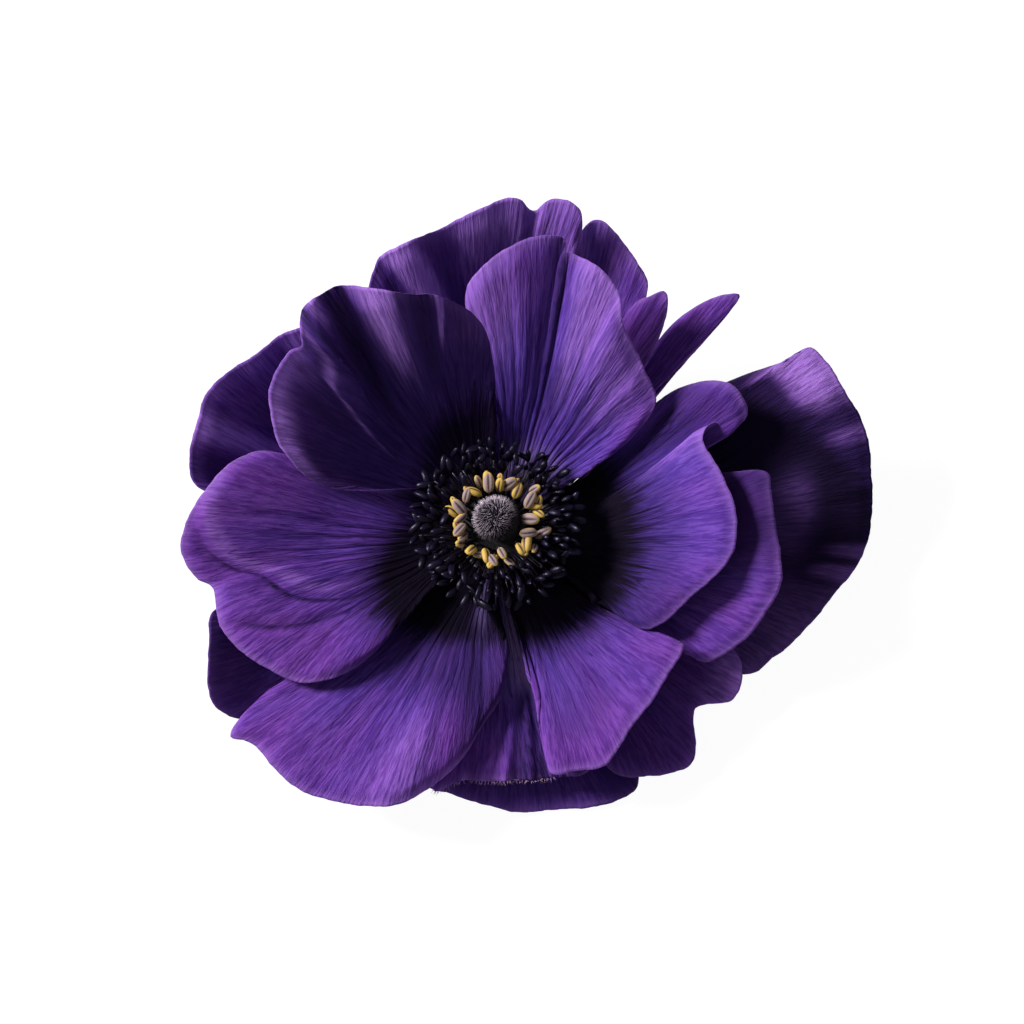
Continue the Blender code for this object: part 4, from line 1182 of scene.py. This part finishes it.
def add_camera():
    centre = Vector((np.array([*AXIS, 0.0]) + VIEW_CENTRE) * MM)
    elevation = np.radians(CAMERA_ELEVATION)
    back = Vector((0.0, -np.cos(elevation), np.sin(elevation)))
    data = bpy.data.cameras.new("camera")
    data.sensor_width = 36.0
    data.lens = data.sensor_width * CAMERA_DISTANCE / VIEW_WIDTH
    data.clip_start = 0.01
    camera = bpy.data.objects.new("camera", data)
    camera.location = centre + CAMERA_DISTANCE * back
    camera.rotation_euler = (np.pi / 2 - elevation, 0.0, 0.0)
    bpy.context.scene.collection.objects.link(camera)
    bpy.context.scene.camera = camera


def add_lamp(name, azimuth, elevation, energy, angle, color):
    """A distant lamp that shines from that direction."""
    data = bpy.data.lights.new(name, "SUN")
    data.energy = energy
    data.angle = np.radians(angle)
    data.color = color
    lamp = bpy.data.objects.new(name, data)
    towards = Vector((*polar(azimuth, np.cos(np.radians(elevation))), np.sin(np.radians(elevation))))
    lamp.rotation_euler = towards.to_track_quat("Z", "Y").to_euler()
    bpy.context.scene.collection.objects.link(lamp)


def add_floor():
    finish = Finish("floor")
    finish.surface(Base_Color=(0.12, 0.12, 0.12), Roughness=0.9, Specular_IOR_Level=0.1)
    finish.surface(Emission_Color=(1.0, 1.0, 1.0), Emission_Strength=0.95)
    corners = [(x * FLOOR_HALF, y * FLOOR_HALF, 0) for x, y in ((-1, -1), (1, -1), (1, 1), (-1, 1))]
    mesh = bpy.data.meshes.new("floor")
    mesh.from_pydata(corners, [], [(0, 1, 2, 3)])
    mesh.materials.append(finish.material)
    floor = bpy.data.objects.new("floor", mesh)
    bpy.context.scene.collection.objects.link(floor)


def add_world():
    world = bpy.data.worlds.new("studio")
    bpy.context.scene.world = world
    world.use_nodes = True
    background = world.node_tree.nodes["Background"]
    background.inputs["Color"].default_value = WORLD_COLOUR
    background.inputs["Strength"].default_value = WORLD_STRENGTH


# ---------------------------------------------------------------------------------------------------
# Settings, operators and panel
# ---------------------------------------------------------------------------------------------------


def colour_property(name, description, default):
    return FloatVectorProperty(
        name=name, description=description, default=default, subtype="COLOR", min=0, max=1
    )


def length_property(name, description, default):
    return FloatProperty(
        name=name, description=description, default=default, unit="LENGTH", precision=5
    )


def count_property(name, description, default):
    return IntProperty(name=name, description=description, default=default, min=0)


class BloomSizes(bpy.types.PropertyGroup):
    """Sizes that a user would change."""

    petal_thickness: length_property("Petal thickness", "A petal's thickness away from its rim", 0.26 * MM)
    petal_cell: length_property("Petal cell", "Size of a petal's mesh cells at its margin", 0.4 * MM)
    filament_radius: length_property("Filament radius", "Radius of a stamen's filament", 0.13 * MM)
    hair_radius: length_property("Hair radius", "Radius of a hair at its root", 0.034 * MM)
    pistil_hairs: count_property("Pistil hairs", "Hairs on the pistil's dome", 900)
    stalk_hairs: count_property("Stalk hairs", "Hairs on the stalk's stub", 420)


class BloomColours(bpy.types.PropertyGroup):
    """Colours that a user would change."""

    violet: colour_property("Violet", "Paler streaks of blue violet petals", (0.104, 0.050, 0.325))
    violet_deep: colour_property("Deep violet", "Ground of blue violet petals", (0.060, 0.026, 0.222))
    purple: colour_property("Purple", "Paler streaks of red violet petals", (0.148, 0.048, 0.300))
    purple_deep: colour_property("Deep purple", "Ground of red violet petals", (0.088, 0.024, 0.200))
    # Colour of the painted sheen on the petals' rims, and of the fringe hairs' roots.
    rim: colour_property("Rim", "The petals' rims", (0.27, 0.135, 0.44))
    vein: colour_property("Veins", "The petals' veins", (0.020, 0.007, 0.10))
    # Colour of the painted highlight along the petals' folds.
    crest: colour_property("Crest", "The palest bands along the petals' folds", (0.35, 0.17, 0.60))
    # The deep violet at the stain's edge, and the colour of the painted shade on the petals.
    dusk_and_painted_shade: colour_property("Dusk", "The deep violet round the petals' dark base", (0.0165, 0.0085, 0.047))
    stain: colour_property("Stain", "The near-black base of the petals", (0.0048, 0.0034, 0.0078))
    # Colour of the pool of painted light near some petals' roots.
    painted_glow: colour_property("Pale base", "The paler patch at some petals' roots", (0.40, 0.30, 0.60))
    back: colour_property("Petal back", "The petals' undersides", (0.15, 0.075, 0.33))
    back_deep: colour_property("Petal back streaks", "Darker streaks of the undersides", (0.09, 0.04, 0.22))
    back_vein: colour_property("Petal back veins", "The undersides' veins", (0.045, 0.015, 0.13))
    filament: colour_property("Filament", "The stamens' filaments", (0.012, 0.008, 0.026))
    anther_dark: colour_property("Dark anther", "Outer anthers", (0.0020, 0.0017, 0.0055))
    anther_crest: colour_property("Dark anther crest", "Outer anthers' crests", (0.0060, 0.0048, 0.018))
    anther_yellow: colour_property("Yellow anther", "Sides of the inner anthers", (0.50, 0.33, 0.07))
    anther_lilac: colour_property("Lilac anther", "Crests of the inner anthers", (0.26, 0.19, 0.20))
    carpel: colour_property("Carpel", "The pistil's skin", (0.008, 0.006, 0.014))
    down: colour_property("Down", "The tips of the hairs", (1.0, 0.84, 1.00))
    fringe: colour_property("Fringe", "The tips of the hairs on a petal's rim", (0.62, 0.42, 0.34))
    stalk: colour_property("Stalk", "The stalk", (0.16, 0.19, 0.07))
    stalk_dark: colour_property("Stalk streaks", "The stalk's darker streaks", (0.07, 0.10, 0.035))
    flush: colour_property("Flush", "The purple flush under the petals", (0.060, 0.022, 0.075))
    pith: colour_property("Pith", "The stalk's cut face", (0.42, 0.46, 0.25))


class BLOOM_OT_petals(bpy.types.Operator):
    """Grow the seventeen petals"""

    bl_idname = "bloom.petals"
    bl_label = "Petals"

    def execute(self, context):
        sizes, colours = context.scene.bloom_sizes, context.scene.bloom_colours
        inner = petal_finish("inner_petal", colours)
        outer = petal_finish("outer_petal", colours)
        fringe = down_finish("rim_down", colours.rim, colours.fringe)
        for seed, (name, petal) in enumerate(PETALS.items()):
            finishes = [inner if name.startswith("inner") else outer]
            if "fringe" in petal:
                finishes.append(fringe)
            add_petal(name, petal, finishes, sizes, seed)
        return {"FINISHED"}


class BLOOM_OT_stamens(bpy.types.Operator):
    """Grow the rings of stamens"""

    bl_idname = "bloom.stamens"
    bl_label = "Stamens"

    def execute(self, context):
        sizes, colours = context.scene.bloom_sizes, context.scene.bloom_colours
        finishes = [
            filament_finish(colours),
            anther_finish(
                "pale_anther", colours.anther_yellow, colours.anther_lilac, colours.filament,
                roughness=0.5, gloss=0.3,
            ),
            anther_finish(
                "dark_anther", colours.anther_dark, colours.anther_crest, colours.stain,
                roughness=0.24, gloss=0.22,
            ),
        ]
        for seed, node in enumerate(STAMEN_OBJECTS):
            add_stamens(node, finishes, sizes, 21 + seed)
        return {"FINISHED"}


class BLOOM_OT_pistil(bpy.types.Operator):
    """Grow the downy dome of carpels"""

    bl_idname = "bloom.pistil"
    bl_label = "Pistil"

    def execute(self, context):
        add_pistil(context.scene.bloom_sizes, context.scene.bloom_colours)
        return {"FINISHED"}


class BLOOM_OT_stalk(bpy.types.Operator):
    """Grow the receptacle and the stub of stalk"""

    bl_idname = "bloom.stalk"
    bl_label = "Stalk"

    def execute(self, context):
        add_stalk(context.scene.bloom_sizes, context.scene.bloom_colours)
        return {"FINISHED"}


class BLOOM_OT_stage(bpy.types.Operator):
    """Set up the floor, the lights and the camera"""

    bl_idname = "bloom.stage"
    bl_label = "Stage"

    def execute(self, context):
        context.scene.view_settings.view_transform = "Standard"
        add_camera()
        add_floor()
        add_world()
        add_lamp("key", **KEY_LAMP)
        return {"FINISHED"}


class BLOOM_PT_panel(bpy.types.Panel):
    """The bloom's pieces, in the order that they are grown"""

    bl_idname = "BLOOM_PT_panel"
    bl_label = "Anemone bloom"
    bl_space_type = "VIEW_3D"
    bl_region_type = "UI"
    bl_category = "Bloom"

    def draw(self, context):
        for operator in OPERATORS:
            self.layout.operator(operator.bl_idname)
        for settings in (context.scene.bloom_sizes, context.scene.bloom_colours):
            box = self.layout.box()
            for key in settings.__annotations__:
                box.prop(settings, key)


OPERATORS = (BLOOM_OT_stage, BLOOM_OT_petals, BLOOM_OT_stamens, BLOOM_OT_pistil, BLOOM_OT_stalk)
CLASSES = (BloomSizes, BloomColours, *OPERATORS, BLOOM_PT_panel)


def register():
    for item in CLASSES:
        bpy.utils.register_class(item)
    bpy.types.Scene.bloom_sizes = PointerProperty(type=BloomSizes)
    bpy.types.Scene.bloom_colours = PointerProperty(type=BloomColours)


def unregister():
    del bpy.types.Scene.bloom_colours
    del bpy.types.Scene.bloom_sizes
    for item in reversed(CLASSES):
        bpy.utils.unregister_class(item)


def main():
    register()
    bpy.ops.bloom.stage()
    bpy.ops.bloom.petals()
    bpy.ops.bloom.stamens()
    bpy.ops.bloom.pistil()
    bpy.ops.bloom.stalk()


if __name__ == "__main__":
    main()
